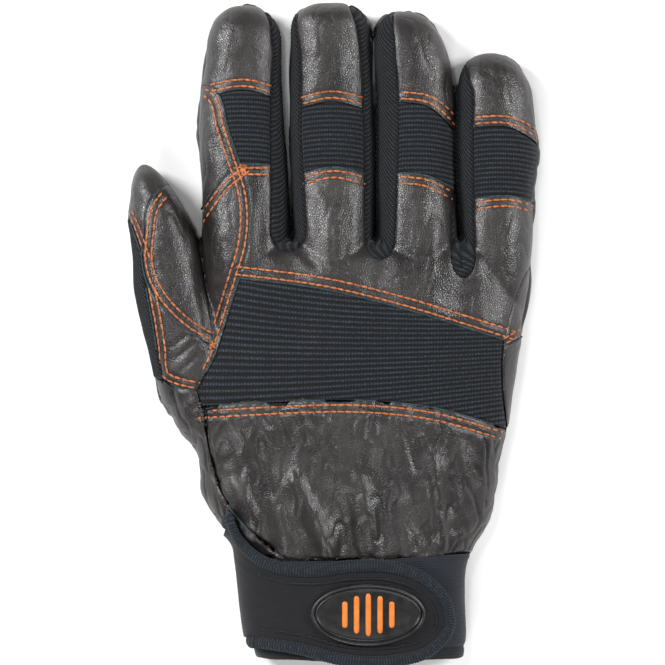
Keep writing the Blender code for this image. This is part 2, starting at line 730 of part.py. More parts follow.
def strip_line(gap):
    """The seam round a side strip: down one finger, round the crotch and up the next."""
    foot = KNUCKLE_Y - gap.foot * PALM_LENGTH
    turn = KNUCKLE_Y - (gap.foot - CROTCH_RISE) * PALM_LENGTH
    sides = []
    for name in (gap.first, gap.second):
        digit = digit_of(name)
        low = (turn - KNUCKLE_Y) / digit.length
        # A strip with a share under 0 at the tip runs out at the finger's edge before it
        runs_out = name == gap.first and gap.first_tip < 0
        top = gap.first_root / (gap.first_root - gap.first_tip) if runs_out else STRIP_TIP
        stations = [low + (top - low) * step / STRIP_STEPS for step in range(STRIP_STEPS + 1)]
        side = [strip_edge(gap, name, along) for along in stations]
        if not runs_out:
            widest = digit_section(name, digit.rows[-2].along)
            outward = widest[1] + SEAM_GAP if name == gap.first else widest[0] - SEAM_GAP
            side.append((outward, side[-1][1] + digit.length * (1 - STRIP_TIP)))
        sides.append(side)
    start, end = sides[0][0], sides[1][0]
    middle, half = (start[0] + end[0]) / 2, (end[0] - start[0]) / 2
    bottom = []
    for step in range(1, FOOT_STEPS):
        angle = math.pi * step / FOOT_STEPS
        bottom.append((middle - half * math.cos(angle), turn - (turn - foot) * math.sin(angle)))
    return sides[0][::-1] + bottom + sides[1]


def crossing_line(crossing):
    """The seam across a finger between the edges of its side strips."""
    name = crossing.finger
    digit = digit_of(name)
    before = [gap for gap in GAPS if gap.second == name]
    after = [gap for gap in GAPS if gap.first == name]
    line = []
    for along, share in ((crossing.left, 0.0), (crossing.middle, 0.5), (crossing.right, 1.0)):
        left, right, _, _ = digit_section(name, along)
        left += (right - left) * crossing.start
        if before:
            left = strip_edge(before[0], name, along)[0]
        if after:
            right = min(strip_edge(after[0], name, along)[0], right)
        else:
            right += digit.width * CROSSING_OVERRUN
        line.append((left + (right - left) * share, digit_place(name)[1] + along * digit.length))
    return smooth_line(line, 2)


def seam_cutters(collection):
    """Every thin cut that parts the form into its sewn pieces."""
    low, high = PALM_SEAM_HEIGHT + SEAM_GAP / 2, ABOVE_ALL
    cutters = []
    for gap in GAPS:
        slit = slit_line(gap)
        cutters.append(seam_blade(f"slit_{gap.first}", slit, -BELOW_ALL, high, collection))
        cutters.append(seam_blade(f"strip_{gap.first}", strip_line(gap), low, high, collection))
    for part, crossings in CROSSINGS.items():
        for crossing in crossings:
            line = crossing_line(crossing)
            cutters.append(seam_blade(f"{crossing.finger}_{part}", line, low, high, collection))
    lines = {
        "index_side": INDEX_SIDE_EDGE,
        "index_cross": INDEX_SIDE_CROSS,
        "thumb_valley": THUMB_VALLEY,
        "knuckle": KNUCKLE_EDGE,
        "wrist": WRIST_EDGE,
        "outer_side": OUTER_SIDE_EDGE,
        "outer_cross": OUTER_SIDE_CROSS,
        "thumb_base": THUMB_BASE_EDGE,
        "thumb_oval": THUMB_OVAL_EDGE,
        "thumb_tip": THUMB_TIP_EDGE,
        "thumb_mesh": THUMB_MESH_EDGE,
        "thumb_foot": THUMB_MESH_FOOT,
    }
    for name, stops in lines.items():
        line = smooth_line([plan_point(stop) for stop in stops], 2)
        cutters.append(seam_blade(name, line, low, high, collection))
    palm = smooth_line([plan_point(stop) for stop in PALM_THUMB_EDGE], 2)
    cutters.append(seam_blade("palm_thumb", palm, -BELOW_ALL, low, collection))
    seam_y = KNUCKLE_Y - CUFF_SEAM * PALM_LENGTH
    reach = KNUCKLE_WIDTH + THUMB_REACH
    for name, y in (("cuff_seam", seam_y), ("hem_seam", HEM_Y + HEM_LENGTH)):
        across = [(KNUCKLE_X - reach, y), (KNUCKLE_X + KNUCKLE_WIDTH + reach, y)]
        cutters.append(seam_blade(name, across, -BELOW_ALL, high, collection))
    slab = [
        (KNUCKLE_X - reach, seam_y),
        (KNUCKLE_X + KNUCKLE_WIDTH + reach, seam_y),
        (KNUCKLE_X + KNUCKLE_WIDTH + reach, KNUCKLE_Y + FINGER_TOP + reach),
        (KNUCKLE_X - reach, KNUCKLE_Y + FINGER_TOP + reach),
    ]
    seam_top = PALM_SEAM_HEIGHT + SEAM_GAP
    cutters.append(prism("palm_seam", slab, PALM_SEAM_HEIGHT, seam_top, collection))
    return cutters


def loose_parts(source, collection):
    """Each separate body of a mesh, as an object of its own."""
    shape = bmesh.new()
    shape.from_mesh(source.data)
    bmesh.ops.remove_doubles(shape, verts=shape.verts, dist=1e-6)
    bmesh.ops.dissolve_limit(shape, angle_limit=FLAT_ANGLE, verts=shape.verts, edges=shape.edges)
    shape.verts.index_update()
    group = [-1] * len(shape.verts)
    count = 0
    for vert in shape.verts:
        if group[vert.index] >= 0:
            continue
        group[vert.index] = count
        waiting = [vert]
        while waiting:
            here = waiting.pop()
            for edge in here.link_edges:
                other = edge.other_vert(here)
                if group[other.index] < 0:
                    group[other.index] = count
                    waiting.append(other)
        count += 1
    parts = []
    for number in range(count):
        piece = shape.copy()
        piece.verts.ensure_lookup_table()
        others = [vert for vert, owner in zip(piece.verts, group) if owner != number]
        bmesh.ops.delete(piece, geom=others, context="VERTS")
        mesh = bpy.data.meshes.new(f"part_{number}")
        piece.to_mesh(mesh)
        piece.free()
        parts.append(add_object(f"part_{number}", mesh, collection))
    shape.free()
    return parts


def finish_of(name):
    """The material of a finish, made once."""
    material = bpy.data.materials.get(name)
    if material is None:
        material = bpy.data.materials.new(name)
        material.use_nodes = True
        shader = material.node_tree.nodes["Principled BSDF"]
        shader.inputs["Base Color"].default_value = (*FINISHES[name].color, 1.0)
        shader.inputs["Roughness"].default_value = FINISHES[name].roughness
        shader.inputs["Metallic"].default_value = 0.0
    return material


def dress(piece, name, finish):
    """Names a piece and gives it its own material."""
    piece.name = name
    piece.data.name = name
    piece.data.materials.clear()
    piece.data.materials.append(finish_of(finish).copy())
    piece.data.materials[0].name = f"{name}_{finish}"
    piece.data.shade_smooth()
    piece.data.set_sharp_from_angle(angle=math.radians(40))


def sewn_pieces(parts_group, cutters_group):
    """The glove's shell, parted by its seams and named by a point on each piece."""
    outer = hand_loft("outer_hand", 0.0, cutters_group)
    digits = [digit_loft(name, 0.0, FINGER_SIDES, cutters_group) for name in (*FINGERS, "thumb")]
    # The exact solver leaves open edges where level floors meet and where thin cuts cross
    combine(outer, digits, "UNION", "MANIFOLD")
    form = evaluated_copy(outer, "outer_form", cutters_group)
    hollow = hand_hollow(cutters_group)
    fingers = []
    for name in (*FINGERS, "thumb"):
        fingers.append(digit_loft(name, FINGER_WALL, HOLLOW_FINGER_SIDES, cutters_group))
    combine(hollow, fingers, "UNION", "MANIFOLD")
    inside = evaluated_copy(hollow, "inner_form", cutters_group)
    combine(form, [inside] + seam_cutters(cutters_group), "DIFFERENCE", "MANIFOLD")
    shell = evaluated_copy(form, "shell", cutters_group)
    parts = loose_parts(shell, parts_group)
    trees = {part: BVHTree.FromObject(part, bpy.context.evaluated_depsgraph_get()) for part in parts}
    for seed in SEEDS:
        x, y = plan_point(Stop(seed.frame, seed.across, seed.along))
        start = Vector((x, y, -BELOW_ALL if seed.below else ABOVE_ALL))
        way = Vector((0, 0, 1 if seed.below else -1))
        hits = []
        for part, tree in trees.items():
            distance = tree.ray_cast(start, way)[3]
            if distance is not None:
                hits.append((distance, part.name, part))
        dress(min(hits)[2], seed.name, seed.finish)


def strap_outline(inset):
    """The strap's outline in the plan, drawn in from its binding's middle line."""
    line = smooth_line([plan_point(stop) for stop in STRAP_EDGE], STRAP_STEPS)
    points = [Vector(point) for point in line]
    drawn = []
    for index, point in enumerate(points):
        before, after = points[max(index - 1, 0)], points[min(index + 1, len(points) - 1)]
        run = (after - before).normalized()
        drawn.append(point + Vector((run.y, -run.x)) * inset)
    return drawn


def layer_over_cuff(name, low_lift, high_lift, outline, foot, collection):
    """A sheet that follows the cuff between two lifts, inside a plan outline."""
    sheet = hand_loft(name + "_sheet", high_lift, collection, layer=True)
    core = hand_loft(name + "_core", low_lift, collection, layer=True, reach=PAST_HEM)
    combine(sheet, [prism(name + "_outline", outline, foot, ABOVE_ALL, collection)], "INTERSECT")
    combine(sheet, [core], "DIFFERENCE")
    return sheet


def make_strap(parts_group, cutters_group):
    """The strap over the cuff, down to its foot at the glove's left side."""
    inset = BINDING_WIDTH / 2 + 2 * SEAM_GAP
    edge = strap_outline(inset)
    left = hand_section(WRIST_Y)[0] - STRAP_HEEL
    top = strap_outline(0.0)[0].y - inset
    below_top = [tuple(point) for point in edge if point.y < top]
    outline = [(left, top), (edge[0].x, top)] + below_top + [(left, edge[-1].y)]
    sheet = layer_over_cuff("strap_form", SEAM_GAP, STRAP_LIFT, outline, STRAP_FOOT, cutters_group)
    strap = evaluated_copy(sheet, "strap", parts_group)
    dress(strap, "strap", "neoprene")


def heel_line(end, lift):
    """Points that carry the binding from its visible end down the glove's left side."""
    edge = hand_section(end.y)[0]
    points = []
    for step in range(1, HEEL_STEPS):
        points.append(cuff_point(end.x + (edge - end.x) * step / HEEL_STEPS, end.y, lift))
    shoulder = STRAP_FOOT + (points[-1].z - STRAP_FOOT) / 2
    points.append(Vector((edge - lift - SEAM_GAP, end.y, shoulder)))
    points.append(Vector((edge - lift - SEAM_GAP, end.y, STRAP_FOOT)))
    return points


def make_binding(parts_group, cutters_group):
    """The rolled binding round the strap's edge, down the glove's left side at both ends."""
    lift = 2 * SEAM_GAP + BINDING_WIDTH / 2
    line = [cuff_point(point.x, point.y, lift) for point in strap_outline(0.0)]
    path = heel_line(line[0], lift)[::-1] + line + heel_line(line[-1], lift)
    curve = bpy.data.curves.new("strap_binding", "CURVE")
    curve.dimensions = "3D"
    curve.bevel_depth = BINDING_WIDTH / 2
    curve.bevel_resolution = 1
    curve.use_fill_caps = True
    spline = curve.splines.new("POLY")
    spline.points.add(len(path) - 1)
    for point, place in zip(spline.points, path):
        point.co = (*place, 1.0)
    binding = solid_of_curve("strap_binding", curve, Vector((0, 0, 0)), parts_group)
    dress(binding, "strap_binding", "binding")


def oval(length, width):
    """A plan oval about the badge's middle."""
    middle = Vector(plan_point(Stop("cuff", BADGE_ACROSS, BADGE_ALONG)))
    points = []
    for step in range(BADGE_SIDES):
        angle = 2 * math.pi * step / BADGE_SIDES
        points.append((middle.x + length / 2 * math.cos(angle), middle.y + width / 2 * math.sin(angle)))
    return points


def make_badge(parts_group, cutters_group):
    """The oval rubber badge with its raised rim, and a plain row of ridges inside it."""
    base = STRAP_LIFT + SEAM_GAP
    top = base + BADGE_WALL + BADGE_RIM_HEIGHT
    outside = oval(BADGE_LENGTH, BADGE_WIDTH)
    plate = layer_over_cuff("badge_form", base, top, outside, STRAP_FOOT, cutters_group)
    inside = oval(BADGE_LENGTH - 2 * BADGE_RIM, BADGE_WIDTH - 2 * BADGE_RIM)
    recess = layer_over_cuff("recess", base + BADGE_WALL, top * 2, inside, STRAP_FOOT, cutters_group)
    recess_solid = evaluated_copy(recess, "recess_solid", cutters_group)
    combine(plate, [recess_solid], "DIFFERENCE")
    dress(evaluated_copy(plate, "badge", parts_group), "badge", "rubber")
    middle = Vector(plan_point(Stop("cuff", BADGE_ACROSS, BADGE_ALONG)))
    low = base + BADGE_WALL + SEAM_GAP
    for number, share in enumerate(RIDGE_SHARES):
        x = middle.x + (number - (len(RIDGE_SHARES) - 1) / 2) * RIDGE_PITCH
        half = share * BADGE_WIDTH / 2
        outline = [
            (x - RIDGE_WIDTH / 2, middle.y - half),
            (x + RIDGE_WIDTH / 2, middle.y - half),
            (x + RIDGE_WIDTH / 2, middle.y + half),
            (x - RIDGE_WIDTH / 2, middle.y + half),
        ]
        name = f"badge_ridge_{number + 1}"
        high = low + RIDGE_HEIGHT
        ridge = layer_over_cuff(name + "_form", low, high, outline, STRAP_FOOT, cutters_group)
        dress(evaluated_copy(ridge, name, parts_group), name, "orange_rubber")


def main():
    """Builds the glove."""
    for old in list(bpy.data.objects):
        bpy.data.objects.remove(old, do_unlink=True)
    parts_group = bpy.data.collections.new("climbing_glove")
    cutters_group = bpy.data.collections.new("cutters")
    bpy.context.scene.collection.children.link(parts_group)
    bpy.context.scene.collection.children.link(cutters_group)
    sewn_pieces(parts_group, cutters_group)
    make_strap(parts_group, cutters_group)
    make_binding(parts_group, cutters_group)
    make_badge(parts_group, cutters_group)
    for helper in cutters_group.objects:
        helper.hide_render = True
        helper.display_type = "WIRE"


main()
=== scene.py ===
"""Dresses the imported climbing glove: sewn leather, ribbed stretch cloth, stitching, strap and badge.

Lengths are in metres. The glove lies palm down, its fingers along +Y and its back towards +Z.
"""

import json
import logging
import math
import random
from collections.abc import Callable, Sequence
from dataclasses import dataclass, field
from enum import Enum
from typing import Any, NamedTuple

import bmesh
import bpy
import numpy as np
from mathutils import Matrix, Vector, noise
from mathutils.bvhtree import BVHTree
from mathutils.kdtree import KDTree

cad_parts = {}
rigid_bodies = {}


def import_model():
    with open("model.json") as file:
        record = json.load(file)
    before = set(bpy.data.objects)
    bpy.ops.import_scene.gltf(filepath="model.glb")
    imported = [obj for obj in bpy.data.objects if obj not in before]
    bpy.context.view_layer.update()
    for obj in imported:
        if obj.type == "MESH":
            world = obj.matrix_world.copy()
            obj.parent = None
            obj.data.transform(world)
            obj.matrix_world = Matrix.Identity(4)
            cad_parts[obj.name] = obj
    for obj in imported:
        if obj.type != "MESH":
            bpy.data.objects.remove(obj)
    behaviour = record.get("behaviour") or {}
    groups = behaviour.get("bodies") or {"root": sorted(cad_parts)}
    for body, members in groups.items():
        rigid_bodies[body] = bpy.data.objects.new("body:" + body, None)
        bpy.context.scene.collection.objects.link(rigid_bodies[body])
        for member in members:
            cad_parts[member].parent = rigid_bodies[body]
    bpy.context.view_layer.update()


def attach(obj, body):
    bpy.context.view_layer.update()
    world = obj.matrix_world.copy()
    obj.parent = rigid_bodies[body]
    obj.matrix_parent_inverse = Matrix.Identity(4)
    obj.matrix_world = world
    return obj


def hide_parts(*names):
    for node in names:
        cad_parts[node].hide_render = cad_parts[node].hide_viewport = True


LOG = logging.getLogger("glove")
Plan = tuple[float, float]

MM = 0.001
PHOTO_SCALE = 2.9 * 1000
PHOTO_CENTRE = (333.5, 333.0)
ABOVE_ALL = 0.060
BELOW_ALL = 0.010
SEAM_GAP = 0.00014
PALM_SEAM_HEIGHT = 0.0060
FAR_OFF = 0.05
STITCH_STEP = 0.0004


class Cloth(Enum):
    """What a sewn piece is cut from."""

    LEATHER = "leather"
    KNIT = "knit"
    MESH = "mesh"
    NEOPRENE = "neoprene"
    ELASTIC = "elastic"


KNIT_BEND = 0.0016
HAND_RIB, HAND_COLUMN = 1.75 * MM, 1.08 * MM
FINGER_RIB, FINGER_COLUMN = 1.62 * MM, 0.88 * MM
SIDE_ROW, SIDE_COLUMN = 1.45 * MM, 1.25 * MM


class Ribs(NamedTuple):
    """How a ribbed cloth is shaped, with its lengths in mm."""

    power: float
    fade: float
    sunk: float
    edge: float
    edge_width: float
    height: float


RIBS = {Cloth.KNIT: Ribs(0.8, 0.9, 0.35, 0.55, 0.8, 0.26), Cloth.MESH: Ribs(0.7, 0.7, 0.10, 0.60, 0.7, 0.34)}


class Row(NamedTuple):
    """A row of a section table, in shares of the named sizes."""

    along: float
    left: float
    right: float
    height: float


class Dome(NamedTuple):
    """How a fingertip closes."""

    power: float
    root: float
    lean: float


class Digit(NamedTuple):
    """A finger or the thumb."""

    width: float
    length: float
    thickness: float
    rows: tuple[Row, ...]
    dome: Dome


class Stop(NamedTuple):
    """A plan point by its shares in a named frame."""

    frame: str
    across: float
    along: float


class Gap(NamedTuple):
    """The side strips between two fingers."""

    first: str
    second: str
    first_tip: float
    first_root: float
    second_tip: float
    second_root: float
    slit: float
    foot: float
    first_top: tuple[Plan, ...]
    second_top: tuple[Plan, ...]


class Crossing(NamedTuple):
    """A seam across a finger, by its left, middle and right end."""

    finger: str
    left: float
    middle: float
    right: float
    start: float


class Crease(NamedTuple):
    """A soft ridge or dent between two places of the photograph, in its pixels and in metres."""

    start: Plan
    end: Plan
    width: float
    height: float


class Fold(NamedTuple):
    """A ridge or a dent of the soft back, in shares."""

    across0: float
    along0: float
    across1: float
    along1: float
    width: float
    height: float


class Seed(NamedTuple):
    """A sewn piece, found by a point on its outer face."""

    name: str
    frame: str
    across: float
    along: float
    below: bool
    cloth: Cloth
    slot: str


class Run(NamedTuple):
    """Rows of stitches beside a seam: side is 1 for the left of its way, -1 for the right."""

    seam: str
    side: int
    offsets: tuple[float, ...]
    start: float = 0.0
    end: float = 1.0
    raw_edge: bool = True


INDEX = Digit(0.0310, 0.0848, 0.0190, (
    Row(-0.26, 0.10, 0.96, 0.90), Row(-0.14, 0.04, 1.00, 1.20), Row(0.04, 0.00, 1.00, 1.24),
    Row(0.20, 0.00, 0.98, 1.15), Row(0.37, -0.03, 0.95, 1.07), Row(0.53, -0.04, 0.915, 1.02),
    Row(0.65, -0.02, 0.893, 0.98), Row(0.772, 0.03, 0.883, 0.92),
), Dome(2.7, 0.43, 0.02))
MIDDLE = Digit(0.0290, 0.0855, 0.0190, (
    Row(-0.26, 0.06, 0.96, 0.95), Row(-0.14, 0.02, 0.99, 1.26), Row(0.04, 0.02, 0.99, 1.34),
    Row(0.20, 0.00, 0.995, 1.22), Row(0.36, -0.02, 0.995, 1.10), Row(0.48, -0.03, 0.99, 1.04),
    Row(0.60, -0.02, 0.975, 1.00), Row(0.847, -0.01, 0.94, 0.90),
), Dome(3.2, 0.40, -0.01))
RING = Digit(0.0290, 0.0828, 0.0190, (
    Row(-0.28, 0.06, 0.94, 0.95), Row(-0.15, 0.02, 0.99, 1.24), Row(0.04, 0.00, 0.99, 1.32),
    Row(0.21, 0.01, 0.96, 1.20), Row(0.37, 0.01, 0.95, 1.08), Row(0.62, 0.01, 0.95, 0.98),
    Row(0.729, 0.00, 0.93, 0.94),
), Dome(2.4, 0.40, -0.13))
LITTLE = Digit(0.0250, 0.0683, 0.0190, (
    Row(-0.40, 0.08, 0.86, 0.80), Row(-0.20, 0.04, 0.95, 1.10), Row(0.00, 0.02, 1.00, 1.20),
    Row(0.10, 0.00, 1.01, 1.16), Row(0.30, -0.02, 1.03, 1.06), Row(0.52, -0.04, 1.11, 1.00),
    Row(0.64, -0.04, 1.06, 0.96), Row(0.732, -0.03, 1.04, 0.92),
), Dome(2.2, 0.42, -0.07))
THUMB = Digit(0.0240, 0.0817, 0.0210, (
    Row(-0.06, 0.52, 1.75, 0.90), Row(0.00, 0.40, 1.71, 1.05), Row(0.10, 0.33, 1.64, 1.10),
    Row(0.22, 0.25, 1.49, 1.08), Row(0.35, 0.12, 1.31, 1.05), Row(0.47, 0.035, 1.16, 1.02),
    Row(0.60, 0.02, 1.06, 1.00), Row(0.69, -0.015, 0.96, 0.97), Row(0.78, -0.055, 0.82, 0.92),
    Row(0.865, -0.015, 0.65, 0.85),
), Dome(1.2, 0.60, -0.14))
FINGERS = {"index": INDEX, "middle": MIDDLE, "ring": RING, "little": LITTLE}
DIGITS = {**FINGERS, "thumb": THUMB}

HAND_ROWS = (
    Row(-0.06, 0.06, 0.96, 0.40), Row(-0.03, 0.02, 0.985, 0.68), Row(0.01, 0.005, 0.995, 0.84),
    Row(0.06, 0.005, 0.985, 0.92), Row(0.12, 0.01, 0.975, 0.96), Row(0.18, 0.02, 0.972, 0.98),
    Row(0.25, 0.02, 0.972, 1.00), Row(0.32, 0.00, 0.966, 1.00), Row(0.38, -0.04, 0.958, 1.00),
    Row(0.44, -0.08, 0.950, 1.00), Row(0.52, -0.095, 0.938, 1.00), Row(0.62, -0.055, 0.927, 0.98),
    Row(0.68, -0.015, 0.915, 0.97), Row(0.75, -0.002, 0.900, 0.96), Row(0.84, 0.000, 0.882, 0.93),
    Row(0.92, 0.042, 0.864, 0.92),
)
CUFF_ROWS = (
    Row(0.00, -0.505, 0.555, 1.00), Row(0.15, -0.490, 0.515, 0.99), Row(0.35, -0.478, 0.502, 0.98),
    Row(0.60, -0.465, 0.502, 0.98), Row(0.80, -0.450, 0.506, 0.99), Row(1.00, -0.425, 0.492, 1.00),
)
FOLDS = (
    Fold(0.285, 0.79, 0.39, 1.00, 0.13, 0.060), Fold(0.50, 0.80, 0.53, 0.98, 0.09, 0.035),
    Fold(0.70, 0.70, 0.73, 0.97, 0.10, 0.040), Fold(0.11, 0.66, 0.20, 0.93, 0.13, -0.045),
    Fold(0.600, 0.86, 0.65, 1.00, 0.10, -0.035), Fold(0.275, 0.05, 0.31, 0.25, 0.20, -0.055),
    Fold(0.535, 0.06, 0.54, 0.28, 0.20, -0.060), Fold(0.785, 0.12, 0.77, 0.30, 0.20, -0.055),
    Fold(0.38, 0.66, 0.60, 0.64, 0.22, 0.025),
)
GAPS = (
    Gap("index", "middle", 0.035, 0.245, 0.095, 0.160, -0.04, 0.000,
        ((272.3, 40), (271.3, 27), (266.5, 14), (261.4, 6), (257, -4)),
        ((296.8, 35), (296, 22), (298, 12), (300, 2), (302, -5))),
    Gap("middle", "ring", 0.115, 0.115, 0.275, 0.220, -0.02, 0.028,
        ((359.5, 40), (356.5, 25), (350, 8), (346, -4)),
        ((394.5, 40), (393, 25), (393.5, 14), (396, 1))),
    Gap("ring", "little", -0.280, 0.110, 0.225, 0.183, 0.05, 0.092,
        (), ((468.8, 82), (466.5, 68), (467.4, 59), (471, 46))),
)
CAPS = (
    Crossing("index", 0.640, 0.656, 0.630, 0.20), Crossing("middle", 0.577, 0.603, 0.577, 0.0),
    Crossing("ring", 0.621, 0.604, 0.508, 0.0), Crossing("little", 0.625, 0.626, 0.525, 0.0),
)
TONGUES = (
    Crossing("index", 0.352, 0.352, 0.352, 0.44), Crossing("middle", 0.312, 0.337, 0.312, 0.0),
    Crossing("ring", 0.325, 0.312, 0.258, 0.0), Crossing("little", 0.263, 0.278, 0.242, 0.0),
)

def stops(frame: str, *places: Plan) -> tuple[Stop, ...]:
    """Plan points in one frame."""
    return tuple(Stop(frame, across, along) for across, along in places)


SEAMS: dict[str, tuple[Stop, ...]] = {
    "index_side": (
        *stops("index", (-0.06, 0.676), (0.06, 0.678), (0.22, 0.640), (0.34, 0.510), (0.46, 0.360),
               (0.54, 0.250), (0.56, 0.130)),
        *stops("hand", (0.142, -0.010), (0.118, 0.080), (0.064, 0.273), (0.042, 0.348), (0.015, 0.410),
               (-0.012, 0.471)),
    ),
    "index_cross": (
        *stops("index", (0.46, 0.345), (0.24, 0.285), (0.06, 0.210), (-0.10, 0.130)),
    ),
    "thumb_valley": (
        *stops("hand", (-0.012, -0.041), (0.006, 0.068), (0.027, 0.205), (0.035, 0.290), (0.045, 0.352)),
    ),
    "knuckle": (
        *stops("hand", (0.115, 0.090), (0.358, 0.126), (0.600, 0.191), (0.782, 0.253), (0.928, 0.305)),
    ),
    "wrist": (
        *stops("hand", (0.000, 0.526), (0.236, 0.510), (0.479, 0.505), (0.691, 0.529), (0.928, 0.604)),
    ),
    "outer_side": (
        *stops("hand", (1.030, 0.010), (0.985, 0.068), (0.955, 0.140), (0.930, 0.225), (0.914, 0.307),
               (0.909, 0.430), (0.920, 0.540), (0.936, 0.620), (0.975, 0.665)),
    ),
    "outer_cross": (
        *stops("hand", (0.912, 0.325), (0.985, 0.280)),
    ),
    "thumb_base": (
        *stops("hand", (-0.012, 0.471), (0.003, 0.526), (0.027, 0.700), (0.064, 0.826), (0.139, 0.939),
               (0.250, 1.040)),
    ),
    "thumb_oval": (
        *stops("thumb", (1.30, 0.940), (0.68, 0.886), (0.39, 0.823), (0.23, 0.705), (0.15, 0.599),
               (0.20, 0.506), (0.335, 0.401), (0.55, 0.300)),
        *stops("hand", (0.041, 0.320)),
    ),
    "thumb_tip": (
        *stops("thumb", (-0.15, 0.840), (0.07, 0.738), (0.16, 0.610)),
    ),
    "thumb_mesh": (
        *stops("thumb", (0.16, 0.550), (0.185, 0.430), (0.165, 0.338), (0.117, 0.232), (0.100, 0.093)),
    ),
    "thumb_foot": (
        *stops("thumb", (-0.15, 0.085), (0.100, 0.093)),
        *stops("hand", (-0.067, 0.461), (-0.012, 0.474)),
    ),
}
CREASES = tuple(Crease(start, end, width * MM, height * MM) for start, end, width, height in (
    ((297, 480), (316, 518), 2.8, 1.0), ((316, 518), (331, 553), 2.6, 1.2), ((284, 500), (303, 552), 2.4, -0.8),
    ((340, 495), (353, 552), 2.3, -0.8), ((366, 488), (371, 554), 1.7, 0.6), ((382, 500), (385, 554), 1.6, -0.6),
    ((404, 520), (410, 552), 1.8, 0.4), ((433, 470), (440, 552), 2.2, 0.7), ((449, 480), (451, 548), 1.7, -0.6),
    ((228, 470), (262, 536), 2.4, 0.7), ((245, 440), (262, 500), 4.0, -0.7), ((300, 425), (420, 432), 5.0, 0.6),
    ((198, 248), (203, 300), 1.9, -2.0), ((203, 300), (209, 338), 1.5, -1.7), ((150, 166), (157, 192), 1.1, -0.9),
    ((163, 176), (176, 204), 1.3, -0.5), ((172, 347), (197, 329), 0.8, -0.45), ((176, 360), (201, 338), 0.8, -0.45),
    ((183, 370), (205, 350), 0.8, -0.40), ((208, 395), (214, 440), 2.0, -0.6), ((296, 248), (318, 268), 1.6, -0.6),
    ((262, 205), (258, 262), 2.2, -0.6), ((315, 195), (322, 250), 2.2, -0.5), ((357, 205), (352, 262), 2.0, 0.5),
    ((412, 205), (404, 262), 2.4, -0.5), ((438, 225), (428, 286), 2.0, 0.5), ((492, 225), (484, 300), 2.4, -0.5),
    ((214, 110), (224, 160), 1.6, -0.5), ((213, 225), (224, 290), 1.8, -0.5), ((318, 30), (312, 84), 3.0, 0.5),
))
PALM_THUMB = (
    *stops("hand", (-0.012, -0.041), (0.006, 0.068), (0.027, 0.205), (0.030, 0.330), (-0.020, 0.450),
           (-0.170, 0.555)),
)
STRAP_EDGE = (
    *stops("cuff", (-0.535, -0.206), (-0.505, -0.070), (-0.450, 0.055), (-0.363, 0.156), (-0.275, 0.200),
           (-0.186, 0.209), (-0.009, 0.165), (0.168, 0.174), (0.322, 0.289), (0.411, 0.492), (0.424, 0.714),
           (0.344, 0.900), (0.168, 0.996), (-0.053, 0.979), (-0.230, 0.890), (-0.398, 0.846)),
)
PALM, BACK = (Cloth.LEATHER, "palm_leather"), (Cloth.LEATHER, "back_leather")
STRETCH, SIDES = (Cloth.KNIT, "stretch_knit"), (Cloth.MESH, "black_knit")
CUFF, HEM = (Cloth.NEOPRENE, "neoprene"), (Cloth.ELASTIC, "elastic")
SEEDS = tuple(Seed(*row[:5], *row[5]) for row in (
    ("palm_leather", "hand", 0.50, 0.50, True, PALM), ("thumb_front_leather", "thumb", 0.50, 0.50, True, PALM),
    ("index_cap", "index", 0.50, 0.80, False, BACK), ("middle_cap", "middle", 0.50, 0.80, False, BACK),
    ("ring_cap", "ring", 0.50, 0.75, False, BACK), ("little_cap", "little", 0.50, 0.75, False, BACK),
    ("index_stretch", "index", 0.60, 0.50, False, STRETCH),
    ("middle_stretch", "middle", 0.50, 0.45, False, STRETCH),
    ("ring_stretch", "ring", 0.60, 0.45, False, STRETCH),
    ("little_stretch", "little", 0.60, 0.45, False, STRETCH),
    ("knuckle_leather", "hand", 0.40, 0.07, False, BACK), ("hand_stretch", "hand", 0.45, 0.35, False, STRETCH),
    ("back_leather", "hand", 0.50, 0.75, False, BACK),
    ("fourchette_index_middle", "index", 0.94, 0.35, False, SIDES),
    ("fourchette_middle_ring", "ring", 0.08, 0.35, False, SIDES),
    ("fourchette_ring_little", "little", 0.10, 0.35, False, SIDES),
    ("index_side_upper", "index", 0.12, 0.45, False, PALM),
    ("index_side_lower", "index", 0.30, 0.15, False, PALM),
    ("outer_side_upper", "hand", 0.955, 0.22, False, PALM),
    ("outer_side_lower", "hand", 0.930, 0.45, False, PALM), ("thumb_tip", "thumb", 0.30, 0.90, False, PALM),
    ("thumb_oval", "thumb", 0.60, 0.60, False, BACK), ("thumb_mesh", "thumb", 0.07, 0.40, False, SIDES),
    ("thumb_gusset", "thumb", 0.35, 0.22, False, PALM), ("thumb_base", "hand", -0.05, 0.58, False, PALM),
    ("cuff", "cuff", 0.00, 0.50, False, CUFF), ("cuff_hem", "cuff", 0.00, 0.97, False, HEM),
))
NEAR, FAR = 1.25 * MM, 3.45 * MM
RUNS = (
    *(Run(f"cap_{name}", 1, (NEAR, FAR), raw_edge=False) for name in FINGERS),
    *(Run(f"tongue_{name}", -1, (NEAR, FAR)) for name in FINGERS),
    Run("index_side", -1, (NEAR, FAR), 0.03, 0.80),
    Run("index_side", -1, (NEAR,), 0.805, 0.94),
    Run("index_cross", 1, (NEAR, FAR)),
    Run("knuckle", 1, (1.05 * MM, 3.7 * MM)),
    Run("wrist", -1, (1.6 * MM, 3.9 * MM)),
    Run("outer_cross", 1, (0.9 * MM, 2.7 * MM)),
    Run("thumb_oval", 1, (NEAR, FAR), 0.08, 0.97),
    Run("thumb_tip", 1, (1.0 * MM, 2.4 * MM)),
    Run("thumb_web", 1, (1.0 * MM, 3.0 * MM), 0.12, 1.0),
    Run("thumb_base", 1, ()),
)


